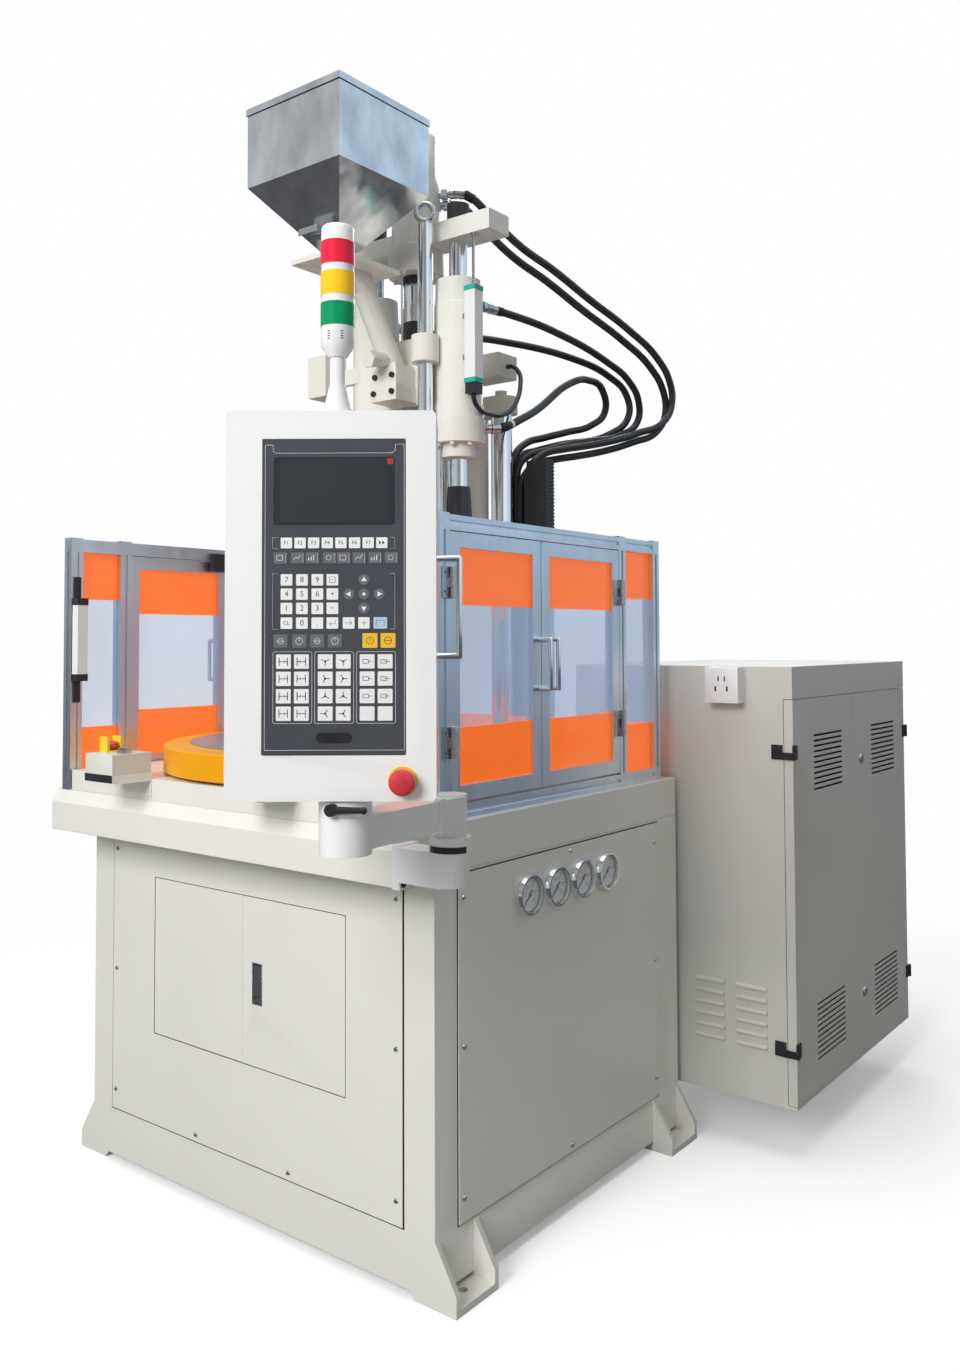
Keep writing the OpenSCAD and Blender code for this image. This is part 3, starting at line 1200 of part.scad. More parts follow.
module hmi_box() {
    color(white) difference() {
        union() {
            bar(joint1[0], joint1[1], link_z0 + 20, link_z1 + 1, 16, 32);
            bar(joint1[0], joint1[1], link_z1 + 0.3, hmi_z, 40, 48);
        }
        bar(joint1[0], joint1[1], link_z0 + 19, link_z0 + 22, 3, 16);
    }
    color(white) on_hmi() difference() {
        rotate([90, 0, 0]) translate([0, hmi_z, -hmi_d]) linear_extrude(hmi_d) polygon([
            for (c = [[-1, 0], [1, 0], [1, 1], [-1, 1]], q = [0 : 1])
                let (m = c[1] == 0 ? 0 : hmi_h, x = c[0] * hmi_w / 2, e = 5)
                (q == 0) == (c[0] * (c[1] == 0 ? 1 : -1) < 0) ? [x, m + (c[1] == 0 ? e : -e)]
                    : [x - c[0] * e, m]]);
        span([-101, -1, hmi_z + 67], [111, 1.5, hmi_z + 533]);
        translate([stop_x, -1, stop_z]) rotate([-90, 0, 0]) cylinder(r = 11 + fit, h = 40, $fn = 32);
    }
    color(chrome) on_hmi() translate([hmi_w / 2, 34, hmi_z + 206]) pull_handle(156, 38, 5);
    color(yellow) on_hmi() translate([stop_x, 0, stop_z]) rotate([90, 0, 0]) difference() {
        cylinder(r = 22, h = 1.5, $fn = 40);
        translate([0, 0, -1]) cylinder(r = 11 + fit, h = 4, $fn = 32);
    }
}

stop_x = 106;
stop_z = hmi_z + 29;
module hmi_stop_button() color(red) on_hmi() translate([stop_x, 8, stop_z]) rotate([90, 0, 0]) {
    cylinder(r = 11, h = 17, $fn = 32);
    translate([0, 0, 17]) rotate_extrude($fn = 40)
        polygon([[0, 0], [17, 0], [20, 4], [19, 11], [14, 15], [0, 16]]);
}

// Fascia with the screen window, a raised bezel and blocks of keys
module key_grid(x0, z0, nx, nz, px, pz, w, h) for (i = [0 : nx - 1], j = [0 : nz - 1])
    translate([x0 + i * px, -1.6, z0 - j * pz]) cube([w, 1.2, h]);

module hmi_fascia() on_hmi() {
    color([0.24, 0.25, 0.28]) difference() {
        span([-100.7, -0.5, hmi_z + 67.3], [110.7, 1.5, hmi_z + 532.7]);
        span([-82, -1, hmi_z + 404], [90, 0.5, hmi_z + 502]);
    }
    color(black) span([-81.7, 0.1, hmi_z + 404.3], [89.7, 0.5, hmi_z + 501.7]);
    color(white) {
        key_grid(-72, hmi_z + 366, 8, 1, 19.4, 20, 16, 17);
        key_grid(-72, hmi_z + 313, 4, 4, 21.6, 21.2, 16.5, 17);
        for (g = [0 : 2]) key_grid(-80 + g * 60, hmi_z + 192, 2, 4, 26.4, 25.5, 20.5, 20.5);
    }
    color(grey) {
        key_grid(-80, hmi_z + 342, 8, 1, 21, 20, 18, 15);
        key_grid(-80, hmi_z + 224, 4, 1, 25, 20, 21, 20);
        for (p = [[0, 0], [21, 0], [0, 21], [-21, 0], [0, -21]])
            translate([46 + p[0], -0.4, hmi_z + 301 + p[1]]) rotate([90, 0, 0])
                cylinder(r = 8, h = 1.2, $fn = 24);
    }
    color(black) span([-22, -1.5, hmi_z + 87], [30, -0.4, hmi_z + 101]);
}

module signal_tower() on_hmi() translate([5, 40, hmi_z + hmi_h]) {
    color(white) {
        cylinder(r = 30, h = 6, $fn = 32);
        translate([0, 0, 6]) cylinder(r1 = 22, r2 = 12, h = 40, $fn = 32);
        translate([0, 0, 46]) cylinder(r = 11.5, h = 42, $fn = 32);
        translate([0, 0, 88]) cylinder(r1 = 14, r2 = tower_r, h = 17, $fn = 32);
        translate([0, 0, 105]) cylinder(r = tower_r, h = 160, $fn = 48);
        translate([0, 0, 265]) cylinder(r = tower_r, h = 20, $fn = 48);
        translate([0, 0, 285]) cylinder(r1 = tower_r, r2 = tower_r - 3, h = 4, $fn = 48);
    }
    lenses = [[134, [0.05, 0.5, 0.28]], [181, yellow], [228, red]];
    for (k = lenses) color(k[1]) translate([0, 0, k[0]]) difference() {
        cylinder(r = tower_r + 0.8, h = 36, $fn = 48);
        translate([0, 0, -1]) cylinder(r = tower_r - 2, h = 38, $fn = 48);
    }
}

module clamp_lever() color(black) translate([joint1[0], joint1[1], link_z1 + 13]) rotate([0, 0, -72]) {
    translate([40.3, 0, 0]) rotate([0, 90, 0]) cylinder(r = 9, h = 12, $fn = 32);
    translate([46, 0, 0]) rotate([-88, 0, 0]) {
        cylinder(r1 = 6, r2 = 4.5, h = 52, $fn = 24);
        translate([0, 0, 52]) sphere(r = 5.5, $fn = 24);
    }
}

base_frame();
cover_panels();
panel_screws();
work_table();
deck_plate();
gauges();
hydraulic_unit();
guard_frame();
guard_panes();
guard_sensors();
control_boxes();
cabinet();
hose_duct();
arm_base();
front_door_left();
front_door_right();
door_latch();
gauge_needle_1();
gauge_needle_2();
gauge_needle_3();
gauge_needle_4();
rotary_table();
table_rim();
upper_platen();
tie_bars();
guide_rods();
rod_boots();
seat_cylinder();
carriage();
injection_cylinders();
barrel();
feed_chute();
hopper();
hopper_lid();
hopper_gate();
transducer();
crosshead();
injection_rods();
hydraulic_motor();
screw();
unit_hoses();
motor_hoses();
guard_door_right_front();
guard_door_right_rear();
guard_door_left_front();
guard_door_left_rear();
hmi_box();
hmi_fascia();
hmi_stop_button();
signal_tower();
arm_link();
clamp_lever();
cabinet_door_front();
cabinet_door_rear();
cabinet_lock_upper();
cabinet_lock_lower();
start_button_left();
start_button_right();
stop_button_left();
stop_button_right();
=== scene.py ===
"""Looks of a vertical injection moulding machine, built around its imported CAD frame."""
import json
import math

import bmesh
import bpy
from mathutils import Matrix, Vector
from mathutils.geometry import interpolate_bezier


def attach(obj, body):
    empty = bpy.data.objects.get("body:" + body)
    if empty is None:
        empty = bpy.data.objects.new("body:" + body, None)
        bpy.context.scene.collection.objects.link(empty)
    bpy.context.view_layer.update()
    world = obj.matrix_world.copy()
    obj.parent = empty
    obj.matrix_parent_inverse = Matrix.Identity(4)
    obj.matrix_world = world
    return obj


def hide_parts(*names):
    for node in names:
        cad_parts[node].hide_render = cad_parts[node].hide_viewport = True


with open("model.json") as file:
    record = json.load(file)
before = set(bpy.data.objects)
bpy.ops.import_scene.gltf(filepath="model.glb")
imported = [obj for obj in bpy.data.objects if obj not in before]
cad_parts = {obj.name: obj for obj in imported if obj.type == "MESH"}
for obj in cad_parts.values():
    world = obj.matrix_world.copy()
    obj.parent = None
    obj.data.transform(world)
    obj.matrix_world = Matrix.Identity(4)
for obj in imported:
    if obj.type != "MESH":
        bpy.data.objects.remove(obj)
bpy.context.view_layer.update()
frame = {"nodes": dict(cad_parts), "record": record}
NODES = frame["nodes"]
BODY_OF = {n: b for b, names in frame["record"]["behaviour"]["bodies"].items() for n in names}
scene = bpy.context.scene
MM = 0.001
rad = math.radians


def mm(*p):
    """A point given in millimetres."""
    return Vector(p) * MM


# Camera, solved from the photograph: its focal length and the height of its optical axis in the 960 x 1372
# frame, in pixels
FRAME_HEIGHT = 1372
FOCAL = 1130.03
AXIS_HEIGHT = 599.29
EYE = (1.869454, -2.058397, 1.205397)
camera = bpy.data.objects.new("camera", bpy.data.cameras.new("camera"))
scene.collection.objects.link(camera)
look = Vector((-0.611394, 0.790461, 0.037000))
right = Vector((0.790922, 0.611907, -0.003336))
above = Vector((0.025278, -0.027225, 0.999310))
camera.matrix_world = Matrix((
    (right.x, above.x, -look.x, EYE[0]),
    (right.y, above.y, -look.y, EYE[1]),
    (right.z, above.z, -look.z, EYE[2]),
    (0, 0, 0, 1)))
camera.data.sensor_width = 36
camera.data.lens = camera.data.sensor_width * FOCAL / FRAME_HEIGHT
camera.data.shift_y = -(FRAME_HEIGHT / 2 - AXIS_HEIGHT) / FRAME_HEIGHT
camera.data.clip_start = 0.05
camera.data.clip_end = 100
scene.camera = camera
scene.view_settings.view_transform = "Standard"


# Materials
def noise(tree, scale, detail, stretch):
    """Noise over the object's own coordinates, one unit a metre."""
    place = tree.nodes.new("ShaderNodeTexCoord")
    mapping = tree.nodes.new("ShaderNodeMapping")
    mapping.inputs["Scale"].default_value = stretch
    tree.links.new(place.outputs["Object"], mapping.inputs["Vector"])
    made = tree.nodes.new("ShaderNodeTexNoise")
    made.inputs["Scale"].default_value = scale
    made.inputs["Detail"].default_value = detail
    tree.links.new(mapping.outputs["Vector"], made.inputs["Vector"])
    return made.outputs["Fac"]


def spread(tree, value, low, high, start=0.3, end=0.7):
    """A noise value spread over low to high."""
    made = tree.nodes.new("ShaderNodeMapRange")
    made.inputs["From Min"].default_value = start
    made.inputs["From Max"].default_value = end
    made.inputs["To Min"].default_value = low
    made.inputs["To Max"].default_value = high
    tree.links.new(value, made.inputs["Value"])
    return made.outputs["Result"]


def ramp(tree, value, stops):
    """Colours along a value: stops are (position, colour)."""
    made = tree.nodes.new("ShaderNodeValToRGB")
    elements = made.color_ramp.elements
    while len(elements) < len(stops):
        elements.new(0.5)
    for element, (position, colour) in zip(elements, stops):
        element.position = position
        element.color = (*colour, 1)
    tree.links.new(value, made.inputs["Fac"])
    return made.outputs["Color"]


def surface(name, colour, rough, metallic=0.0, tint=0.03, tint_scale=5.0, rough_by=0.06, rough_scale=20.0,
            bump=0.0, bump_scale=900.0, stretch=(1, 1, 1), coat=0.0, alpha=1.0, specular=0.5, ior=1.5,
            emit=None):
    """A painted, moulded or metal surface whose colour, gloss and texture vary by noise: the colour by the
    share tint, the roughness by rough_by and the height by bump, in millimetres. emit is a colour and its
    strength."""
    made = bpy.data.materials.new(name)
    made.use_nodes = True
    made.diffuse_color = (*colour, 1)
    tree = made.node_tree
    shader = tree.nodes["Principled BSDF"]
    dark = [max(0.0, c * (1 - tint)) for c in colour]
    light = [min(1.0, c * (1 + tint)) for c in colour]
    tone = ramp(tree, noise(tree, tint_scale, 4.0, stretch), [(0.3, dark), (0.7, light)])
    tree.links.new(tone, shader.inputs["Base Color"])
    uneven = noise(tree, rough_scale, 4.0, stretch)
    gloss = spread(tree, uneven, max(0.02, rough - rough_by), rough + rough_by)
    tree.links.new(gloss, shader.inputs["Roughness"])
    shader.inputs["Metallic"].default_value = metallic
    shader.inputs["IOR"].default_value = ior
    shader.inputs["Specular IOR Level"].default_value = specular
    shader.inputs["Coat Weight"].default_value = coat
    shader.inputs["Coat Roughness"].default_value = 0.12
    shader.inputs["Alpha"].default_value = alpha
    if emit:
        shader.inputs["Emission Color"].default_value = (*emit[0], 1)
        shader.inputs["Emission Strength"].default_value = emit[1]
    if bump:
        relief = tree.nodes.new("ShaderNodeBump")
        relief.inputs["Strength"].default_value = 1.0
        relief.inputs["Distance"].default_value = bump * MM
        tree.links.new(noise(tree, bump_scale, 2.0, stretch), relief.inputs["Height"])
        tree.links.new(relief.outputs["Normal"], shader.inputs["Normal"])
    return made


IVORY = surface("ivory_enamel", (0.80, 0.785, 0.72), 0.36, tint=0.022, tint_scale=2.2, rough_by=0.05,
                rough_scale=9, bump=0.035, bump_scale=420, coat=0.15)
CABINET = surface("cabinet_enamel", (0.66, 0.645, 0.595), 0.40, tint=0.03, tint_scale=2.5, rough_by=0.05,
                  rough_scale=9, bump=0.05, bump_scale=520, coat=0.1)
WHITE = surface("white_shell", (0.84, 0.84, 0.83), 0.32, tint=0.006, tint_scale=3, rough_by=0.02,
                bump=0.012, bump_scale=900, coat=0.12)
STEEL = surface("machined_steel", (0.56, 0.57, 0.59), 0.30, metallic=1.0, tint=0.10, tint_scale=60,
                rough_by=0.09, rough_scale=140, bump=0.01, bump_scale=500, stretch=(1, 1, 6))
ZINC = surface("zinc_fastener", (0.62, 0.62, 0.60), 0.30, metallic=1.0, tint=0.12, tint_scale=220,
               rough_by=0.08, rough_scale=300, bump=0.01, bump_scale=900)
CHROME = surface("hard_chrome", (0.86, 0.88, 0.90), 0.10, metallic=1.0, tint=0.03, tint_scale=30,
                 rough_by=0.04, rough_scale=90, bump=0.002, bump_scale=300, stretch=(1, 1, 0.1))
STAINLESS = surface("polished_stainless", (0.76, 0.78, 0.80), 0.17, metallic=1.0, tint=0.22, tint_scale=13,
                    rough_by=0.10, rough_scale=16, bump=2.2, bump_scale=9, stretch=(1, 1, 0.6))
TABLE = surface("ground_table", (0.62, 0.58, 0.56), 0.34, metallic=1.0, tint=0.10, tint_scale=18,
                rough_by=0.08, rough_scale=50, bump=0.01, bump_scale=400)
ALUMINIUM = surface("anodised_aluminium", (0.76, 0.83, 0.90), 0.36, metallic=1.0, tint=0.05, tint_scale=25,
                    rough_by=0.06, rough_scale=60, bump=0.004, bump_scale=600, stretch=(1, 1, 0.15))
BLACK = surface("black_plastic", (0.022, 0.022, 0.025), 0.42, tint=0.25, tint_scale=40, rough_by=0.08,
                bump=0.03, bump_scale=1400)
RUBBER = surface("hose_rubber", (0.016, 0.016, 0.019), 0.38, tint=0.35, tint_scale=25, rough_by=0.10,
                 rough_scale=60, bump=0.05, bump_scale=700, specular=0.6)
# Black rubber of the swages. The same colour is the painted shade in the cover gaps and the painted shadow
# ring under the gauges' glass
SEAL_AND_SHADE = surface("rubber_seal_and_painted_shade", (0.012, 0.012, 0.013), 0.6, tint=0.2, tint_scale=60, rough_by=0.08,
               bump=0.03, bump_scale=900)
YELLOW = surface("yellow_enamel", (0.88, 0.38, 0.004), 0.40, tint=0.06, tint_scale=8, rough_by=0.06,
                 bump=0.03, bump_scale=500, specular=0.25)
SIGNAL_YELLOW = surface("yellow_shroud", (0.93, 0.62, 0.03), 0.36, tint=0.03, tint_scale=30, rough_by=0.05,
                        bump=0.01, bump_scale=900, coat=0.1)
RED = surface("red_button", (0.62, 0.045, 0.05), 0.34, tint=0.05, tint_scale=40, rough_by=0.05,
              bump=0.012, bump_scale=900, coat=0.3)
FASCIA = surface("fascia_film", (0.062, 0.066, 0.078), 0.46, tint=0.06, tint_scale=12, rough_by=0.05,
                 bump=0.02, bump_scale=1600)
KEY = surface("key_film", (0.82, 0.82, 0.81), 0.40, tint=0.02, tint_scale=60, rough_by=0.05, bump=0.01,
              bump_scale=1500)
DARK_KEY = surface("dark_key_film", (0.14, 0.145, 0.16), 0.42, tint=0.06, tint_scale=60, rough_by=0.05,
                   bump=0.01, bump_scale=1500)
SCREEN = surface("screen_glass", (0.020, 0.022, 0.028), 0.16, tint=0.10, tint_scale=6, rough_by=0.04,
                 bump=0.001, bump_scale=100, coat=0.6)
INK = surface("black_ink", (0.02, 0.02, 0.022), 0.5, tint=0.1, tint_scale=300, rough_by=0.05)
PALE_INK = surface("pale_ink", (0.78, 0.78, 0.78), 0.5, tint=0.04, tint_scale=300, rough_by=0.05)
DIAL = surface("dial_face", (0.86, 0.86, 0.85), 0.45, tint=0.015, tint_scale=80, rough_by=0.04)
# The orange and clear panes glow: painted light, standing in for the light that shines through them from
# behind
ORANGE = surface("orange_acrylic", (1.0, 0.165, 0.008), 0.16, tint=0.03, tint_scale=6, rough_by=0.04,
                 alpha=0.86, bump=0.01, bump_scale=20, coat=0.2, emit=((1.0, 0.25, 0.04), 0.42))
CLEAR = surface("clear_acrylic", (0.45, 0.58, 0.76), 0.12, tint=0.03, tint_scale=5, rough_by=0.04,
                alpha=0.36, bump=0.01, bump_scale=20, coat=0.2, emit=((0.42, 0.60, 0.85), 0.30))
GLASS = surface("gauge_glass", (0.9, 0.92, 0.93), 0.08, tint=0.02, tint_scale=40, rough_by=0.02,
                alpha=0.14, coat=0.4)
TEAL = surface("teal_end_cap", (0.02, 0.42, 0.33), 0.38, tint=0.05, tint_scale=60, rough_by=0.05,
               bump=0.01, bump_scale=900)
BEIGE = surface("box_lid", (0.69, 0.68, 0.63), 0.40, tint=0.02, tint_scale=30, rough_by=0.05, bump=0.03,
                bump_scale=1100)
LENS_RED = surface("red_lens", (0.72, 0.02, 0.05), 0.22, tint=0.04, tint_scale=50, rough_by=0.04,
                   specular=0.15, emit=((0.9, 0.03, 0.08), 0.10))
LENS_YELLOW = surface("yellow_lens", (0.94, 0.52, 0.02), 0.22, tint=0.04, tint_scale=50, rough_by=0.04,
                      specular=0.15, emit=((1.0, 0.6, 0.05), 0.10))
LENS_GREEN = surface("green_lens", (0.004, 0.26, 0.10), 0.22, tint=0.04, tint_scale=50, rough_by=0.04,
                     specular=0.15, emit=((0.0, 0.5, 0.2), 0.06))
HEATER = surface("heater_band", (0.42, 0.39, 0.35), 0.42, metallic=1.0, tint=0.2, tint_scale=50,
                 rough_by=0.1, rough_scale=120, bump=0.02, bump_scale=400)
SOCKET = surface("socket_plate", (0.86, 0.86, 0.85), 0.26, tint=0.01, tint_scale=60, rough_by=0.04, coat=0.2)
GREY_PAINT = surface("motor_grey", (0.24, 0.26, 0.28), 0.4, tint=0.05, bump=0.05, bump_scale=500)
LIGHT_KEY = surface("light_blue_key", (0.46, 0.60, 0.72), 0.40, tint=0.02, tint_scale=60, rough_by=0.05,
                    bump=0.01, bump_scale=1500)
AMBER_KEY = surface("amber_key", (0.86, 0.50, 0.04), 0.40, tint=0.03, tint_scale=60, rough_by=0.05,
                    bump=0.01, bump_scale=1500)
DULL_RED = surface("dull_red_tab", (0.36, 0.05, 0.05), 0.4, tint=0.05, tint_scale=80, rough_by=0.05)
SCREEN_FACE = surface("screen_face", (0.026, 0.029, 0.036), 0.14, tint=0.12, tint_scale=9, rough_by=0.03,
                      coat=0.5, bump=0.001, bump_scale=80)


# Dressing of the CAD nodes. WELD is the distance in metres at which corners are joined. Edges flatter than
# FLAT are taken out, those under SHARP shade smooth, and those over ROUND_FROM are rounded
WELD, FLAT, SHARP, ROUND_FROM = 2e-6, rad(0.6), rad(32), rad(38)
# The undersides of the push buttons, which lie more than BUTTON_EDGE below their tops, are lifted a little,
# so that they stop short of their seats when pressed home
BUTTON_EDGE, BUTTON_LIFT = 5 * MM, 0.3 * MM


def add(name, data, body, node):
    """A new piece of mesh or curve data, which rides on a body and replaces a CAD node."""
    piece = bpy.data.objects.new(name, data)
    scene.collection.objects.link(piece)
    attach(piece, body)
    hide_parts(node)
    return piece


def islands(bm):
    """The separate shells of a mesh, as lists of faces."""
    left, found = set(bm.faces), []
    while left:
        stack, shell = [left.pop()], []
        while stack:
            face = stack.pop()
            shell.append(face)
            for edge in face.edges:
                for other in edge.link_faces:
                    if other in left:
                        left.remove(other)
                        stack.append(other)
        found.append(shell)
    return found


def dress(node, mats, rule, bevel):
    """A detailed copy of a CAD node: welded, its flat faces cleaned, its edges rounded by bevel millimetres,
    with a material for each face. rule(lo, hi, c, n) has the shell's corners and the face's centre, in
    millimetres, and the face's normal."""
    bm = bmesh.new()
    bm.from_mesh(NODES[node].data)
    bmesh.ops.remove_doubles(bm, verts=bm.verts, dist=WELD)
    bmesh.ops.dissolve_limit(bm, angle_limit=FLAT, verts=bm.verts, edges=bm.edges)
    for face in bm.faces:
        face.smooth = True
    if node.startswith(("start_button", "stop_button")):
        top = max(v.co.z for v in bm.verts)
        for v in bm.verts:
            if v.co.z < top - BUTTON_EDGE:
                v.co.z += BUTTON_LIFT
    if rule:
        for shell in islands(bm):
            co = [v.co / MM for f in shell for v in f.verts]
            lo = Vector(map(min, *co))
            hi = Vector(map(max, *co))
            for face in shell:
                face.material_index = rule(lo, hi, face.calc_center_median() / MM, face.normal)
    mesh = bpy.data.meshes.new(node + "_skin")
    bm.to_mesh(mesh)
    bm.free()
    mesh.set_sharp_from_angle(angle=SHARP)
    for m in mats:
        mesh.materials.append(m)
    piece = add(mesh.name, mesh, BODY_OF[node], node)
    if bevel:
        soft = piece.modifiers.new("soft_edges", "BEVEL")
        soft.width = bevel * MM
        soft.segments = 2
        soft.limit_method = "ANGLE"
        soft.angle_limit = ROUND_FROM
        soft.use_clamp_overlap = True
        soft.harden_normals = True


# Cords. Radii and routes are in millimetres, the routes as in the CAD model
HOSE_R, CABLE_R = 10, 6
CURVE_STEPS = 40
MOTOR_ROUTE = [
    (92.3, 142.1, 2340), (105, 148.3, 2340), (126, 170, 2328), (146, 221, 2289), (182, 301, 2229),
    (230, 379, 2178), (268, 490, 2122), (290, 670, 2070), (300, 810, 2018), (305, 874, 1960),
    (306, 884, 1900), (300, 845, 1840), (274, 740, 1794), (240, 640, 1760), (198, 572, 1742),
    (160, 528, 1732), (125, 490, 1719), (105, 459, 1690), (101.7, 440, 1650), (101.7, 440, 1130)]
MOTOR_STEP = (-21.5, 0, -25)
ROUTES = {
    "motor_hose_upper": MOTOR_ROUTE,
    "motor_hose_lower": [tuple(a + b for a, b in zip(p, MOTOR_STEP)) for p in MOTOR_ROUTE],
    "unit_hose_right": [
        (150, 205.3, 2050), (150, 214, 2050), (154, 260, 2052), (180, 460, 2040), (203, 710, 1996),
        (210, 800, 1964), (213, 852, 1912), (206, 856, 1852), (182, 785, 1803), (152, 660, 1772),
        (122, 575, 1750), (97, 529, 1734), (73, 489, 1719), (61, 460, 1690), (59, 449, 1650),
        (59, 449, 1105)],
    "unit_hose_left": [
        (-150, 205.3, 2050), (-150, 214, 2050), (-146, 260, 2052), (-100, 360, 2056), (-10, 470, 2048),
        (120, 640, 2012), (166, 765, 1976), (182, 836, 1930), (184, 842, 1868), (160, 780, 1812),
        (98, 590, 1758), (71, 529, 1738), (49, 489, 1722), (39.5, 460, 1690), (38, 449, 1650),
        (38, 449, 1105)],
    "unit_hose_low": [
        (180.2, 170.3, 1734), (187, 182, 1734), (198, 212, 1743), (202, 270, 1770), (200, 340, 1804),
        (186, 520, 1908), (177, 630, 1940), (168, 725, 1926), (158, 752, 1872), (142, 705, 1828),
        (116, 610, 1796), (92, 540, 1774), (66, 478, 1750), (52, 441, 1705), (48, 429, 1660),
        (48, 429, 1105)],
    "ruler_cable": [
        (212, 63, 1797.7), (212, 63, 1789), (212, 74, 1772), (204, 140, 1762), (192, 232, 1784),
        (178, 288, 1826), (167, 318, 1872), (156, 330, 1904), (141, 332, 1923), (128, 332, 1929.5),
        (115.3, 332, 1930)],
}


def cord(name, route, radius, body, node, stiffness):
    """A hose or cable through the points of its route. Gives back its middle line."""
    curve = bpy.data.curves.new(name, "CURVE")
    curve.dimensions = "3D"
    curve.bevel_depth = radius * MM
    curve.bevel_resolution = 6
    curve.resolution_u = 14
    curve.use_fill_caps = True
    spline = curve.splines.new("BEZIER")
    spline.bezier_points.add(len(route) - 1)
    for point, place in zip(spline.bezier_points, route):
        point.co = mm(*place)
        point.handle_left_type = point.handle_right_type = "AUTO"
    # A stiff hose's last stretch runs straight down the trough
    if stiffness == "stiff":
        spline.bezier_points[-2].handle_right_type = spline.bezier_points[-1].handle_left_type = "VECTOR"
    curve.materials.append(RUBBER)
    piece = add(name, curve, body, node)
    bpy.context.view_layer.update()
    line = []
    for a, b in zip(spline.bezier_points, spline.bezier_points[1:]):
        line += interpolate_bezier(a.co, a.handle_right, b.handle_left, b.co, CURVE_STEPS)
    return line


def along(line, distance):
    """The point of a line at a distance from its start."""
    for p, q in zip(line, line[1:]):
        step = (q - p).length
        if step > distance:
            return p.lerp(q, distance / step)
        distance -= step
    return line[-1]


def collar(name, line, start, profile, material, body, node, sides=32):
    """A turned collar round a hose's line, start from its end. profile has rows of distance and radius. All
    are in millimetres."""
    foot = along(line, start * MM)
    axis = (along(line, (start + profile[-1][0]) * MM) - foot).normalized()
    across = axis.orthogonal().normalized()
    over = axis.cross(across)
    verts = []
    for v, r in profile:
        for k in range(sides):
            a = 2 * math.pi * k / sides
            verts.append(foot + (axis * v + (across * math.cos(a) + over * math.sin(a)) * r) * MM)
    faces = []
    for row in range(0, (len(profile) - 1) * sides, sides):
        for k in range(sides):
            j = (k + 1) % sides
            faces.append((row + k, row + j, row + sides + j, row + sides + k))
    mesh = bpy.data.meshes.new(name)
    mesh.from_pydata(verts, [], faces)
    for polygon in mesh.polygons:
        polygon.use_smooth = True
    mesh.set_sharp_from_angle(angle=SHARP)
    mesh.materials.append(material)
    add(name, mesh, body, node)


# Crimped ferrule with its nut, rubber swage and paper band, and how far from the hose's end each starts
FERRULE = [(0, 9.7), (0, 13.2), (6, 13.2), (6.6, 11.6), (8.4, 11.6), (9, 12.6), (13, 12.6), (13.4, 12.2),
           (14.6, 12.2), (15, 12.6), (18, 12.6), (18.4, 12.2), (19.6, 12.2), (20, 12.6), (23.4, 12.6),
           (24, 12), (24, 9.7)]
SWAGE = [(0, 9.7), (0, 11.2), (0.5, 11.6), (25.5, 11.6), (26, 11.2), (26, 9.7)]
BAND = [(0, 9.7), (0, 10.7), (9, 10.7), (9, 9.7)]
FERRULE_AT, SWAGE_AT, BAND_AT = 1, 25, 62
for name, route in ROUTES.items():
    if name.startswith("motor"):
        body, node = "injector", "motor_hoses"
    else:
        body, node = "carriage", "unit_hoses"
    if "cable" in name:
        cord(name, route, CABLE_R, body, node, "medium")
        continue
    line = cord(name, route, HOSE_R, body, node, "stiff")
    collar(name + "_ferrule", line, FERRULE_AT, FERRULE, ZINC, body, node)
    collar(name + "_swage", line, SWAGE_AT, SWAGE, SEAL_AND_SHADE, body, node)
    if name == "unit_hose_low":
        collar(name + "_band", line, BAND_AT, BAND, PALE_INK, body, node)


# Floor and light. The floor glows a little to the camera, and turns plain white between two distances from
# the middle of the machine, in metres
FLOOR_GLOW = 0.27
WHITE_FROM, WHITE_AT = 1.7, 3.2
FLOOR_HALF = 30


def mix(tree, factor, first, second):
    """A mix of two shaders."""
    made = tree.nodes.new("ShaderNodeMixShader")
    tree.links.new(factor, made.inputs[0])
    tree.links.new(first, made.inputs[1])
    tree.links.new(second, made.inputs[2])
    return made.outputs[0]


def floor_material():
    """White floor: it keeps the shadow near the machine, is plain white far away and throws little light
    back."""
    made = bpy.data.materials.new("pale_floor")
    made.use_nodes = True
    tree = made.node_tree
    lit = tree.nodes["Principled BSDF"]
    lit.inputs["Base Color"].default_value = (0.93, 0.93, 0.93, 1)
    lit.inputs["Roughness"].default_value = 0.7
    lit.inputs["Specular IOR Level"].default_value = 0.1
    lit.inputs["Emission Color"].default_value = (1, 1, 1, 1)
    lit.inputs["Emission Strength"].default_value = FLOOR_GLOW
    white = tree.nodes.new("ShaderNodeEmission")
    dull = tree.nodes.new("ShaderNodeBsdfDiffuse")
    dull.inputs["Color"].default_value = (0.42, 0.42, 0.42, 1)
    place = tree.nodes.new("ShaderNodeTexCoord")
    length = tree.nodes.new("ShaderNodeVectorMath")
    length.operation = "LENGTH"
    tree.links.new(place.outputs["Object"], length.inputs[0])
    far = spread(tree, length.outputs["Value"], 0.0, 1.0, WHITE_FROM, WHITE_AT)
    rays = tree.nodes.new("ShaderNodeLightPath")
    seen = mix(tree, far, lit.outputs[0], white.outputs[0])
    dim = tree.nodes.new("ShaderNodeEmission")
    dim.inputs["Color"].default_value = (0.10, 0.10, 0.11, 1)
    unseen = mix(tree, rays.outputs["Is Glossy Ray"], dull.outputs[0], dim.outputs[0])
    tree.links.new(mix(tree, rays.outputs["Is Camera Ray"], unseen, seen),
                   tree.nodes["Material Output"].inputs["Surface"])
    return made


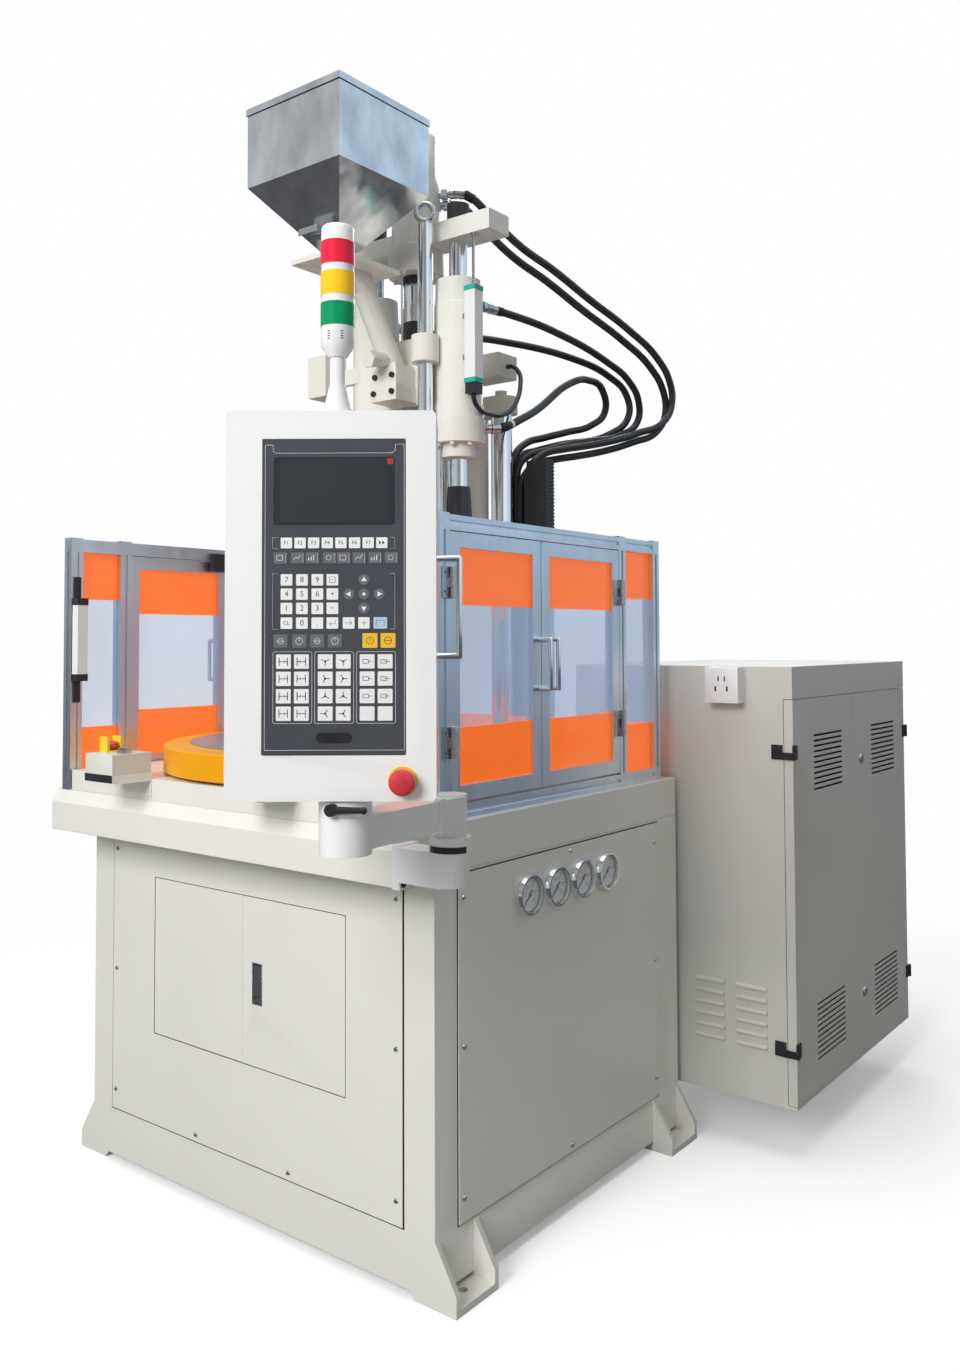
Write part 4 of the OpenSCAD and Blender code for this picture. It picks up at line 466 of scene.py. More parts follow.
mesh = bpy.data.meshes.new("floor")
mesh.from_pydata([(x * FLOOR_HALF, y * FLOOR_HALF, 0) for x, y in ((-1, -1), (1, -1), (1, 1), (-1, 1))], [],
                 [(0, 1, 2, 3)])
mesh.materials.append(floor_material())
floor = bpy.data.objects.new("floor", mesh)
scene.collection.objects.link(floor)

world = bpy.data.worlds.new("studio")
scene.world = world
world.use_nodes = True
tree = world.node_tree
tree.nodes.clear()
out = tree.nodes.new("ShaderNodeOutputWorld")
rays = tree.nodes.new("ShaderNodeLightPath")
either = tree.nodes.new("ShaderNodeMath")
either.operation = "MAXIMUM"
tree.links.new(rays.outputs["Is Camera Ray"], either.inputs[0])
tree.links.new(rays.outputs["Is Transmission Ray"], either.inputs[1])


def backdrop(colour, strength):
    """A plain part of the surroundings."""
    made = tree.nodes.new("ShaderNodeBackground")
    made.inputs["Strength"].default_value = strength
    if isinstance(colour, tuple):
        made.inputs["Color"].default_value = (*colour, 1)
    else:
        tree.links.new(colour, made.inputs["Color"])
    return made.outputs[0]


# What metal mirrors: a dim hall at the front left, bright windows at the back right, darkness near the
# ground. Other rays meet a dim plain sky, and the camera and clear panes see white
place = tree.nodes.new("ShaderNodeTexCoord")
aside = tree.nodes.new("ShaderNodeVectorMath")
aside.operation = "DOT_PRODUCT"
aside.inputs[1].default_value = (0.58, 0.76, 0.30)
tree.links.new(place.outputs["Generated"], aside.inputs[0])
axes = tree.nodes.new("ShaderNodeSeparateXYZ")
tree.links.new(place.outputs["Generated"], axes.inputs[0])
hall = ramp(tree, spread(tree, aside.outputs["Value"], 0, 1, -1, 1),
            [(0.0, (0.60, 0.61, 0.63)), (0.2, (0.46, 0.48, 0.50)), (0.45, (0.18, 0.19, 0.20)),
             (0.72, (0.90, 0.95, 1.0)), (1.0, (0.50, 0.64, 0.78))])
ground = tree.nodes.new("ShaderNodeMix")
ground.data_type = "RGBA"
ground.inputs["A"].default_value = (0.06, 0.06, 0.07, 1)
tree.links.new(spread(tree, axes.outputs["Z"], 0.0, 1.0, -0.25, 0.12), ground.inputs["Factor"])
tree.links.new(hall, ground.inputs["B"])
mirrored = mix(tree, rays.outputs["Is Glossy Ray"], backdrop((0.95, 0.98, 1.0), 0.30),
               backdrop(ground.outputs["Result"], 1.0))
tree.links.new(mix(tree, either.outputs[0], mirrored, backdrop((1.0, 1.0, 1.0), 1.0)), out.inputs["Surface"])


def soft_light(name, place, aim, size, power, glossy=True):
    """A soft square studio light at place, aimed at a point."""
    lamp = bpy.data.lights.new(name, "AREA")
    lamp.shape = "SQUARE"
    lamp.size = size
    lamp.energy = power
    made = bpy.data.objects.new(name, lamp)
    scene.collection.objects.link(made)
    made.location = place
    made.visible_glossy = glossy
    made.rotation_euler = (Vector(aim) - Vector(place)).to_track_quat("-Z", "Y").to_euler()


soft_light("key_light", (0.7, -5.0, 3.4), (0, 0, 1.1), 2.4, 225, glossy=False)
soft_light("top_light", (0.2, -0.6, 6.6), (0.2, 0.2, 0), 3.2, 120)
soft_light("back_light", (-1.5, 4.6, 4.0), (0, 0.4, 1.4), 2.4, 60)


# Materials of each CAD node. A rule gives a face's place in its node's list of materials. Its limits are
# faces and edges of the CAD model, in millimetres, most of them set a hair outside the face they belong to
# Control panel: its turn, its joint in the machine and in the panel, its foot and its height
PANEL_TURN = rad(37.7)
PANEL_JOINT = Vector((666, -834))
JOINT_ASIDE, JOINT_BEHIND = 17, 45
PANEL_Z, PANEL_HIGH = 972, 575
# The panel's stop button and the radius of its ring; the signal tower's lenses, from the tower's foot
STOP_X, STOP_Z, STOP_RING = 106, 29, 22.5
LENS_R, LENS_HIGH, LENS_STARTS = 24.6, 36, (134, 181, 228)
# Cabinet: its face, its sides and where the hinges begin; the wall socket's plate and slots (x, width, z)
CABINET_FACE, CABINET_SIDE_Y, CABINET_REAR_Y, HINGE_X = 825.05, 483.9, 1305.1, 772.9
SOCKET_X0, SOCKET_X1, SOCKET_Z, SOCKET_DEEP = 619, 707, 1054, 446.3
SOCKET_SLOTS = ((646, 4, 1083), (676, 4, 1083), (654, 3, 1107), (670, 3, 1107))
# Axes of the injection unit and its cylinders; x, y and radius of the tie bars
CYLINDER_X, UNIT_Y = 138, 97
TIE_BARS = ((0, -130, 40), (96, 330, 28), (-96, 330, 28))


def in_panel(c):
    """A point in the control panel's frame: x right of its face's middle, y behind it, z above its foot."""
    dx, dy = c.x - PANEL_JOINT.x, c.y - PANEL_JOINT.y
    cos, sin = math.cos(PANEL_TURN), math.sin(PANEL_TURN)
    return Vector((dx * cos + dy * sin + JOINT_ASIDE, -dx * sin + dy * cos + JOINT_BEHIND, c.z - PANEL_Z))


def on_panel(u, v, h):
    """The place of a point on the panel's face: u right of its middle, v above its bottom, h before it."""
    x, y = u - JOINT_ASIDE, -h - JOINT_BEHIND
    cos, sin = math.cos(PANEL_TURN), math.sin(PANEL_TURN)
    return Vector((PANEL_JOINT.x + x * cos - y * sin, PANEL_JOINT.y + x * sin + y * cos, PANEL_Z + v))


# The signal tower's axis, where it meets the panel's top
TOWER_FOOT = on_panel(5, PANEL_HIGH, -40)


def away(c, x, y):
    """Distance of a point from an upright line."""
    return math.hypot(c.x - x, c.y - y)


def cabinet_rule(lo, hi, c, n):
    """0 the case, 1 the wall socket's plate, 2 its slots, 3 the fixed halves of the hinges."""
    if SOCKET_X0 < c.x < SOCKET_X1 and c.y < CABINET_SIDE_Y and c.z > SOCKET_Z:
        slot = any(x - 0.5 < c.x < x + w + 0.5 and z - 0.5 < c.z < z + 12.5 for x, w, z in SOCKET_SLOTS)
        return 2 if slot and c.y > SOCKET_DEEP else 1
    if c.x > CABINET_FACE or (c.x > HINGE_X and (c.y < CABINET_SIDE_Y or c.y > CABINET_REAR_Y)):
        return 3
    return 0


def cabinet_door_rule(lo, hi, c, n):
    """0 the door, 1 its halves of the hinges."""
    return int(c.x > CABINET_FACE)


def arm_base_rule(lo, hi, c, n):
    """0 the bracket, 1 the heads of its screws."""
    return int(c.x > 546.01 and c.y < -562.9 and abs(c.z - 811) > 20)


def barrel_rule(lo, hi, c, n):
    """0 the tube, 1 the heater bands, 2 the gland on top."""
    if hi.z - lo.z < 60:
        return 1
    return 2 if c.z > 1960.1 else 0


def carriage_rule(lo, hi, c, n):
    """0 the casting, 1 the rod of the seat cylinder with its nut, 2 the heads of the screws in front."""
    if hi.x - lo.x < 60:
        return 1
    bolt = c.y < -27.05 if c.z < 1835 else (c.y < -24.05 and c.z < 1890)
    return 2 if bolt and abs(c.x) < 45 else 0


def crosshead_rule(lo, hi, c, n):
    """0 the casting, 1 the rod of the position ruler."""
    return int(c.x > 200 and c.z < 2189.5)


def box_rule(lo, hi, c, n):
    """Two-hand control box: 0 the bracket, 1 the base and the cable's bend, 2 the lid, 3 the stop button's
    shroud, 4 the start button's ring."""
    x = c.x - lo.x
    if c.z < 912.05:
        return 1 if 70 < x < 87 and c.z < 908.5 and c.y < -565.1 else 0
    if c.z < 928.05:
        return 1
    if c.z < 970.05:
        return 2
    return 3 if x < 46 else 4


def front_door_rule(lo, hi, c, n):
    """0 the door, 1 the latch's dished plate."""
    plate = abs(c.x - 51) < 15.2 and abs(c.z - 496) < 43.2
    return int(plate and (c.y < -466.6 or abs(n.y) < 0.5 or c.y < -457))


def gauge_rule(lo, hi, c, n):
    """0 the plate behind the gauges, 1 the cases, 2 the dials, 3 the glasses."""
    if hi.x - lo.x < 3:
        return 3
    if c.x < 532.6:
        return 0
    return 2 if 538 < c.x < 539 and n.x > 0.9 else 1


def guard_door_rule(lo, hi, c, n):
    """0 the frame, 1 the handle, 2 the orange panes, 3 the clear pane, 4 the hinge leaves."""
    if hi.x - lo.x < 6:
        return 3 if hi.z - lo.z > 200 else 2
    if abs(c.x) > 515.7:
        return 1 if min(abs(c.y + 112), abs(c.y + 82)) < 7 else 4
    return 0


def guard_frame_rule(lo, hi, c, n):
    """0 the profiles, 1 the fixed hinge leaves, 2 the caps of the posts."""
    return 2 if c.z > 1447.05 else int(abs(c.x) > 516.05)


def guard_pane_rule(lo, hi, c, n):
    """0 the orange panes, 1 the clear ones."""
    return int(hi.z - lo.z > 200)


def sensor_rule(lo, hi, c, n):
    """0 the door switches and the ends of the light-curtain bars, 1 the bars."""
    return int(hi.z - lo.z > 100 and 1132.1 < c.z < 1291.9)


def guide_rod_rule(lo, hi, c, n):
    """0 the rods, 1 their eye bolts."""
    return int(c.z > 2221)


def hmi_rule(lo, hi, c, n):
    """0 the housing, 1 the handle, 2 the stop button's ring."""
    p = in_panel(c)
    if p.x > 155.6 and p.z > 100:
        return 1
    return 2 if p.y < -0.05 and math.hypot(p.x - STOP_X, p.z - STOP_Z) < STOP_RING else 0


def motor_rule(lo, hi, c, n):
    """0 the motor, 1 its hose fittings."""
    return int(away(c, 0, UNIT_Y) > 62.3)


def unit_rule(lo, hi, c, n):
    """0 the tank and the clamp cylinder, 1 the electric motor and the pump on their plate."""
    return int(c.y < -80 and c.z > 130.1)


def cylinder_rule(lo, hi, c, n):
    """0 the cylinders, 1 their hose fittings."""
    return int(away(c, math.copysign(CYLINDER_X, c.x), UNIT_Y) > 67)


def rod_end_rule(lo, hi, c, n):
    """0 the injection rods, 1 the caps on top."""
    return int(c.z > 2239.1)


def screw_rule(lo, hi, c, n):
    """0 the screw, 1 its coupling."""
    return int(c.z > 2107.05)


def tie_bar_rule(lo, hi, c, n):
    """0 the bars, 1 the nuts on the platen, 2 the yoke below."""
    if c.z < 604.1:
        return 2
    return int(c.z > 1429.9 and min(away(c, x, y) - r for x, y, r in TIE_BARS) > 1)


def tower_rule(lo, hi, c, n):
    """0 the white shells, 1 to 3 the green, yellow and red lenses."""
    z = c.z - TOWER_FOOT.z
    for i, start in enumerate(LENS_STARTS):
        if start - 0.1 < z < start + LENS_HIGH + 0.1 and away(c, TOWER_FOOT.x, TOWER_FOOT.y) > LENS_R:
            return 1 + i
    return 0


def transducer_rule(lo, hi, c, n):
    """Position ruler: 0 the case, 1 the end caps, 2 the plug, 3 the clamps."""
    if c.z < 1824.05:
        return 2
    if c.x < 194.9 or (c.x < 195.9 and 1880 < c.z < 2010 and n.x < -0.9 and abs(c.y - 63) < 8):
        return 3
    return 1 if c.z < 1836.05 or c.z > 2047.9 else 0


LOOKS = {
    "arm_base": ([WHITE, BLACK], arm_base_rule),
    "barrel": ([STEEL, HEATER, BLACK], barrel_rule),
    "cabinet": ([CABINET, SOCKET, INK, BLACK], cabinet_rule),
    "cabinet_door_front": ([CABINET, BLACK], cabinet_door_rule),
    "cabinet_door_rear": ([CABINET, BLACK], cabinet_door_rule),
    "carriage": ([IVORY, CHROME, BLACK], carriage_rule),
    "control_boxes": ([IVORY, BLACK, BEIGE, SIGNAL_YELLOW, STEEL], box_rule),
    "crosshead": ([IVORY, STEEL], crosshead_rule),
    "front_door_right": ([IVORY, ZINC], front_door_rule),
    "gauges": ([IVORY, CHROME, DIAL, GLASS], gauge_rule),
    "guard_frame": ([ALUMINIUM, STEEL, BLACK], guard_frame_rule),
    "guard_panes": ([ORANGE, CLEAR], guard_pane_rule),
    "guard_sensors": ([BLACK, WHITE], sensor_rule),
    "guide_rods": ([CHROME, ZINC], guide_rod_rule),
    "hmi_box": ([WHITE, CHROME, SIGNAL_YELLOW], hmi_rule),
    "hydraulic_motor": ([IVORY, STEEL], motor_rule),
    "hydraulic_unit": ([IVORY, GREY_PAINT], unit_rule),
    "injection_cylinders": ([IVORY, STEEL], cylinder_rule),
    "injection_rods": ([CHROME, BLACK], rod_end_rule),
    "screw": ([CHROME, BLACK], screw_rule),
    "signal_tower": ([WHITE, LENS_GREEN, LENS_YELLOW, LENS_RED], tower_rule),
    "tie_bars": ([CHROME, STEEL, IVORY], tie_bar_rule),
    "transducer": ([WHITE, TEAL, BLACK, STEEL], transducer_rule),
}
for side in ("right_front", "right_rear", "left_front", "left_rear"):
    LOOKS["guard_door_" + side] = ([ALUMINIUM, CHROME, ORANGE, CLEAR, STEEL], guard_door_rule)
PLAIN = (
    (WHITE, "arm_link"),
    (IVORY, "base_frame cover_panels deck_plate feed_chute front_door_left seat_cylinder"),
    (IVORY, "upper_platen work_table"),
    (ZINC, "cabinet_lock_lower cabinet_lock_upper door_latch panel_screws"),
    (BLACK, "clamp_lever hose_duct"),
    (INK, "gauge_needle_1 gauge_needle_2 gauge_needle_3 gauge_needle_4"),
    (RED, "hmi_stop_button stop_button_left stop_button_right"),
    (STAINLESS, "hopper hopper_lid"),
    (STEEL, "hopper_gate start_button_left start_button_right"),
    (RUBBER, "rod_boots"),
    (TABLE, "rotary_table"),
    (YELLOW, "table_rim"),
)
for material, nodes in PLAIN:
    for node in nodes.split():
        LOOKS[node] = ([material], None)
# Rounding of the edges, in millimetres: EDGE, or else a node's own
EDGE = 0.5
BEVEL = {"base_frame": 1.5, "work_table": 2.5, "cabinet": 1.2, "cabinet_door_front": 1.5,
         "cabinet_door_rear": 1.5, "deck_plate": 1.5, "guard_frame": 0.4, "gauges": 0.3, "panel_screws": 0.3,
         "control_boxes": 0.4, "hose_duct": 0.6, "hmi_box": 1.5, "cover_panels": 0.8, "front_door_left": 0.9,
         "front_door_right": 0.6, "hopper_lid": 0.6, "guard_panes": 0.4, "upper_platen": 3,
         "crosshead": 2, "carriage": 2, "seat_cylinder": 1.5, "feed_chute": 1.0, "rotary_table": 0.8,
         "transducer": 1.0, "arm_link": 2.5, "arm_base": 1.5,
         "start_button_left": 0.2, "start_button_right": 0.2,
         "gauge_needle_1": 0, "gauge_needle_2": 0, "gauge_needle_3": 0, "gauge_needle_4": 0}
for node, (mats, rule) in LOOKS.items():
    dress(node, mats, rule, BEVEL.get(node, EDGE))


# Thin flat details on a surface
def box_of(u0, v0, u1, v1):
    """A rectangle's corners, anticlockwise."""
    return [(u0, v0), (u1, v0), (u1, v1), (u0, v1)]


def disc(u, v, r, steps=28):
    """A circle's points."""
    return [(u + r * math.cos(2 * math.pi * i / steps), v + r * math.sin(2 * math.pi * i / steps))
            for i in range(steps)]


def polar(r, a):
    """A point at a distance and an angle from the origin."""
    return r * math.cos(a), r * math.sin(a)


def rounded(u0, v0, u1, v1, r, steps):
    """A rectangle with round corners."""
    corners = ((u1 - r, v0 + r, -90), (u1 - r, v1 - r, 0), (u0 + r, v1 - r, 90), (u0 + r, v0 + r, 180))
    points = []
    for u, v, start in corners:
        for i in range(steps + 1):
            du, dv = polar(r, rad(start + 90 * i / steps))
            points.append((u + du, v + dv))
    return points


class Sheet:
    """Thin flat shapes on a surface, gathered into one piece. place(u, v, h) gives a point's place in the
    machine's frame: u to the right, v upwards, h out of the surface, in millimetres. top and base are the
    heights of a shape's face and of its foot, and mat is a place in the piece's list of materials."""

    def __init__(self, place):
        self.place, self.verts, self.faces, self.mats = place, [], [], []

    def prism(self, points, top, base, mat):
        """A face with walls round it, its points anticlockwise."""
        n, k = len(points), len(self.verts)
        self.verts += [self.place(u, v, top) * MM for u, v in points]
        self.verts += [self.place(u, v, base) * MM for u, v in points]
        self.faces.append(tuple(range(k, k + n)))
        for i in range(n):
            j = (i + 1) % n
            self.faces.append((k + i, k + n + i, k + n + j, k + j))
        self.mats += [mat] * (n + 1)

    def line(self, points, width, top, base, mat):
        """A line through points, with square ends."""
        for (u0, v0), (u1, v1) in zip(points, points[1:]):
            length = math.hypot(u1 - u0, v1 - v0)
            du, dv = (u1 - u0) / length * width / 2, (v1 - v0) / length * width / 2
            self.prism([(u0 - du + dv, v0 - dv - du), (u1 + du + dv, v1 + dv - du),
                        (u1 + du - dv, v1 + dv + du), (u0 - du - dv, v0 - dv + du)], top, base, mat)

    def outline(self, points, width, top, base, mat):
        """A closed line through points."""
        self.line(points + points[:1], width, top, base, mat)

    def text(self, words, u, v, size, top, mat):
        """Flat words, centred on a point."""
        curve = bpy.data.curves.new("words", "FONT")
        curve.body = words
        curve.size = size
        curve.align_x = curve.align_y = "CENTER"
        holder = bpy.data.objects.new("words", curve)
        scene.collection.objects.link(holder)
        made = holder.evaluated_get(bpy.context.evaluated_depsgraph_get()).to_mesh()
        k = len(self.verts)
        self.verts += [self.place(u + p.co.x, v + p.co.y, top) * MM for p in made.vertices]
        self.faces += [tuple(k + i for i in f.vertices) for f in made.polygons]
        self.mats += [mat] * len(made.polygons)
        bpy.data.objects.remove(holder)
        bpy.data.curves.remove(curve)

    def build(self, name, mats, body, node):
        """The piece with all the shapes."""
        mesh = bpy.data.meshes.new(name)
        mesh.from_pydata(self.verts, [], self.faces)
        for m in mats:
            mesh.materials.append(m)
        for polygon, mat in zip(mesh.polygons, self.mats):
            polygon.material_index = mat
        add(name, mesh, body, node)


# Control panel's front film. Its keys and lines are laid out on a grid: x to the right, y down, the film's
# upper left corner at (MARGIN, MARGIN), one unit about 0.3 mm
FILM_LEFT, FILM_LOW, FILM_RIGHT, FILM_TOP = -100.7, 67.3, 110.7, 532.7
MARGIN, UNIT_X, UNIT_Z, UNIT_R = 8, 0.3068, 0.2999, 0.3
# Heights over the panel's face: top and foot of the film, the printed lines, the screen's rim and glass, the
# keys and the marks on them
FILM_FACE, FILM_BASE = 0.5, -1.5
LINE_TOP, LINE_BASE = 0.56, 0.4
RIM_TOP, RIM_BASE = 0.8, 0.4
SCREEN_TOP, SCREEN_BASE = 0.9, 0.7
KEY_TOP, KEY_BASE = 1.1, 0.3
MARK_TOP, MARK_BASE = 1.16, 1.05
FILM_LOOKS = [FASCIA, KEY, DARK_KEY, SCREEN, SCREEN_FACE, PALE_INK, INK, LIGHT_KEY, AMBER_KEY, DULL_RED,
              BLACK]
FILM, WHITE_KEY, GREY_KEY, SCREEN_RIM, SCREEN_GLASS, MARK, DARK_MARK, BLUE, AMBER, TAB, SLOT = range(11)
film = Sheet(on_panel)


def fx(x):
    """The panel's millimetres right of its middle for a grid x."""
    return FILM_LEFT + (x - MARGIN) * UNIT_X


def fz(y):
    """The panel's millimetres above its bottom for a grid y."""
    return FILM_TOP - (y - MARGIN) * UNIT_Z


def on_grid(points):
    """Points of the grid, in the panel's millimetres."""
    return [(fx(x), fz(y)) for x, y in points]


def cell(x, y, w, h, r=4):
    """A key's outline from its upper left corner, on the grid."""
    return rounded(fx(x), fz(y + h), fx(x + w), fz(y), r * UNIT_R, 3)


def key(x, y, w, h, mat, words=None, size=8.0):
    """A raised key, with or without words on it."""
    film.prism(cell(x, y, w, h), KEY_TOP, KEY_BASE, mat)
    if words:
        film.text(words, fx(x + w / 2), fz(y + h / 2), size, MARK_TOP, DARK_MARK)


def strokes(lines, width=0.6, mat=DARK_MARK, top=MARK_TOP):
    """Lines through grid points."""
    for points in lines:
        film.line(on_grid(points), width, top, MARK_BASE, mat)


def circle(x, y, r, width, mat, steps=16):
    """A ring round a grid point, its radius in millimetres."""
    film.outline(disc(fx(x), fz(y), r, steps), width, MARK_TOP, MARK_BASE, mat)


def four_sides(x0, y0, x1, y1):
    """A rectangle's outline as one line."""
    return [(x0, y1), (x0, y0), (x1, y0), (x1, y1), (x0, y1)]


def brackets(y0, y1, ends):
    """Two printed brackets round a group of keys: ends has the x of each back and of its tips."""
    for back, tip in ends:
        strokes([[(tip, y0), (back, y0), (back, y1), (tip, y1)]], 0.5, MARK, LINE_TOP)


def motion_symbol(block, row, x, y, turn):
    """What is printed on a motion key: plates and an arrow, a wheel, or a cylinder with its rod."""
    if block == 0:
        strokes([[(x - 20, y - 18), (x - 20, y + 18)], [(x + 20, y - 18), (x + 20, y + 18)],
                 [(x - 20, y), (x - 6, y)], [(x + 20, y), (x + 6, y)]], 1.3 - 0.2 * (row % 2))
        strokes([[(x - turn * 6, y - 8), (x, y), (x - turn * 6, y + 8)]])
    elif block == 1:
        for a in (90, 210, 330):
            dx, dy = polar(20, rad(a + row * 30))
            strokes([[(x, y), (x + dx, y + dy)]], 1.1)
        film.prism(disc(fx(x), fz(y), 1.6, 12), 1.18, MARK_BASE, DARK_MARK)
    elif row < 3:
        strokes([four_sides(x - 20, y - 9, x + 8, y + 9), [(x - turn * 6, y), (x + 22, y)]], 0.8)


# The film itself, its printed border and the screen
film.prism(rounded(FILM_LEFT, FILM_LOW, FILM_RIGHT, FILM_TOP, 3, 4), FILM_FACE, FILM_BASE, FILM)
BORDER = [(22, 38), (60, 38), (60, 70), (75, 78), (632, 78), (648, 65), (648, 35), (690, 35), (690, 1535),
          (22, 1535)]
film.outline(on_grid(BORDER), 0.5, LINE_TOP, LINE_BASE, MARK)
RIM_CELL, GLASS_CELL, TAB_CELL = (62, 97, 583, 336, 14), (95, 110, 515, 310, 5), (605, 105, 33, 30, 2)
film.prism(cell(*RIM_CELL), RIM_TOP, RIM_BASE, SCREEN_RIM)
film.prism(cell(*GLASS_CELL), SCREEN_TOP, SCREEN_BASE, SCREEN_GLASS)
film.prism(cell(*TAB_CELL), SCREEN_TOP, SCREEN_BASE, TAB)

# F1 to F7 and a key with a double arrow
F_LEFT, F_STEP, F_TOP, F_WIDE, F_HIGH = 98, 65.4, 495, 54, 53
for i in range(8):
    key(F_LEFT + F_STEP * i, F_TOP, F_WIDE, F_HIGH, WHITE_KEY, "F%d" % (i + 1) if i < 7 else None)
x, y = F_LEFT + F_STEP * 7 + F_WIDE / 2, F_TOP + 26
for d in (-10, 6):
    film.prism(on_grid([(x + d - 4, y + 10), (x + d + 8, y), (x + d - 4, y - 10)]), MARK_TOP, MARK_BASE,
               DARK_MARK)
brackets(495, 550, ((58, 82), (645, 622)))

# Grey keys with a line beside each; their four symbols come twice
GREY_COLUMNS, GREY_TOP = (65, 147, 218, 300, 368, 443, 520, 597), 568
for i, x in enumerate(GREY_COLUMNS):
    key(x, GREY_TOP, 56, 54, GREY_KEY)
    strokes([[(x + 58, 572), (x + 58, 620)]], 0.5, MARK)
    if i % 4 == 0:
        strokes([four_sides(x + 14, 582, x + 42, 606)], 0.6, MARK)
    elif i % 4 == 1:
        strokes([[(x + 12, 604), (x + 24, 590), (x + 34, 598), (x + 46, 580)]], 0.6, MARK)
    elif i % 4 == 2:
        for d in (14, 26, 38):
            strokes([[(x + d, 606), (x + d, 606 - d * 0.6)]], 1.2, MARK)
    else:
        circle(x + 28, 594, 3.6, 0.6, MARK)

# Number pad; the corner keys at the right have drawn symbols
PAD_COLUMNS, PAD_ROWS, PAD_SIZE = (98, 172, 246, 318), (675, 745, 815, 887), 56
PAD = (("7", "8", "9", "frame"), ("4", "5", "6", "\u2022"), ("1", "2", "3", "\u2212"),
       ("CL", "0", ".", "return"))
for y, words in zip(PAD_ROWS, PAD):
    for x, word in zip(PAD_COLUMNS, words):
        drawn = word in ("frame", "return")
        key(x, y, PAD_SIZE, PAD_SIZE, WHITE_KEY, None if drawn else word, 8.0 if word == "CL" else 11.5)
        if word == "return":
            strokes([[(x + 42, y + 14), (x + 42, y + 32), (x + 14, y + 32)],
                     [(x + 22, y + 24), (x + 14, y + 32), (x + 22, y + 40)]])
        elif word == "frame":
            strokes([four_sides(x + 14, y + 14, x + 42, y + 42), [(x + 20, y + 28), (x + 36, y + 28)]])

# Arrow, plus and bracket keys beside the pad's last row
for x, w, mat in ((396, 56, WHITE_KEY), (470, 54, WHITE_KEY), (543, 65, BLUE)):
    key(x, PAD_ROWS[-1], w, PAD_SIZE, mat)
strokes([[(408, 915), (438, 915)], [(430, 905), (438, 915), (430, 925)], [(484, 915), (510, 915)],
         [(497, 901), (497, 929)], [(556, 930), (556, 902), (594, 902), (594, 930)]])

# Round keys, four arrows about a dot: the middle and the direction of each
ROUND_R = 26
ROUND_KEYS = ((497, 702, 0, -1), (425, 773, -1, 0), (497, 773, 0, 0), (570, 773, 1, 0), (497, 843, 0, 1))
for x, y, dx, dy in ROUND_KEYS:
    film.prism(disc(fx(x), fz(y), ROUND_R * UNIT_X), KEY_TOP, KEY_BASE, GREY_KEY)
    if dx or dy:
        mark = on_grid([(x - dx * 8 + dy * 13, y - dy * 8 - dx * 13),
                        (x - dx * 8 - dy * 13, y - dy * 8 + dx * 13), (x + dx * 15, y + dy * 15)])
    else:
        mark = disc(fx(x), fz(y), 2.4, 16)
    film.prism(mark, MARK_TOP, MARK_BASE, MARK)
brackets(672, 945, ((60, 82), (645, 620)))

# Mode keys, grey ones with a ring and a line and two amber ones
MODE_TOP, AMBER_TOP = 970, 965
for i, x in enumerate((65, 155, 240, 325)):
    key(x, MODE_TOP, 67, 65, GREY_KEY)
    circle(x + 33, 1003, 5.0 if i % 2 else 4.0, 0.7, MARK)
    strokes([[(x + 33, 985), (x + 33, 1003)]] if i % 2 else [[(x + 16, 1003), (x + 50, 1003)]], 0.7, MARK)
for x, w in ((490, 72), (577, 71)):
    key(x, AMBER_TOP, w, 72, AMBER)
    circle(x + w / 2, AMBER_TOP + 36, 5.2, 0.8, DARK_MARK, 20)
strokes([[(526, 990), (526, 1003)], [(600, 1001), (626, 1001)]], 0.9)

# Three blocks of motion keys, each in a printed frame, and the slot under them
BLOCKS, BLOCK_ROWS, BLOCK_STEP = (77, 277, 477), (1068, 1152, 1237, 1322), 86
for block, left in enumerate(BLOCKS):
    film.outline(cell(left - 15, 1055, 186, 350, 10), 0.5, LINE_TOP, LINE_BASE, MARK)
    for row, y in enumerate(BLOCK_ROWS):
        for x, turn in ((left, -1), (left + BLOCK_STEP, 1)):
            key(x, y, 71, 70, WHITE_KEY)
            motion_symbol(block, row, x + 35, y + 35, turn)
SLOT_CELL = (268, 1450, 172, 50, 25)
film.prism(cell(*SLOT_CELL), 1.5, 0.4, SLOT)
film.build("panel_film", FILM_LOOKS, "hmi", "hmi_fascia")


# Scales on the pressure gauges' dials, from zero to DIAL_END over DIAL_SWEEP degrees, and a shadow ring
# under the glass
GAUGE_Y, GAUGE_STEP, GAUGE_Z, DIAL_X = -176, 99.5, 693, 538.5
DIAL_START, DIAL_SWEEP, DIAL_END = 225, 270, 25
SCALE_R, ARC_R, FIGURES_R, RING_R = 30, 30.5, 17.5, 33.6
PRINT_TOP, PRINT_BASE = 0.12, 0.02
for i in range(4):
    y = GAUGE_Y + GAUGE_STEP * i
    scale = Sheet(lambda u, v, h, y=y: Vector((DIAL_X + h, y + u, GAUGE_Z + v)))
    for t in range(DIAL_END + 1):
        a = rad(DIAL_START - DIAL_SWEEP * t / DIAL_END)
        inner, width = (23.5, 1.5) if t % 5 == 0 else (26.5, 0.8)
        scale.line([polar(inner, a), polar(SCALE_R, a)], width, PRINT_TOP, PRINT_BASE, 0)
        if t % 5 == 0:
            scale.text(str(t), *polar(FIGURES_R, a), 8.0, PRINT_TOP, 0)
    scale.line([polar(ARC_R, rad(DIAL_START - DIAL_SWEEP * k / 30)) for k in range(31)], 0.6, PRINT_TOP,
               PRINT_BASE, 0)
    scale.outline(disc(0, 0, RING_R, 48), 1.6, 0.3, PRINT_BASE, 1)
    scale.build("gauge_scale_%d" % (i + 1), [INK, SEAL_AND_SHADE], "base", "gauges")


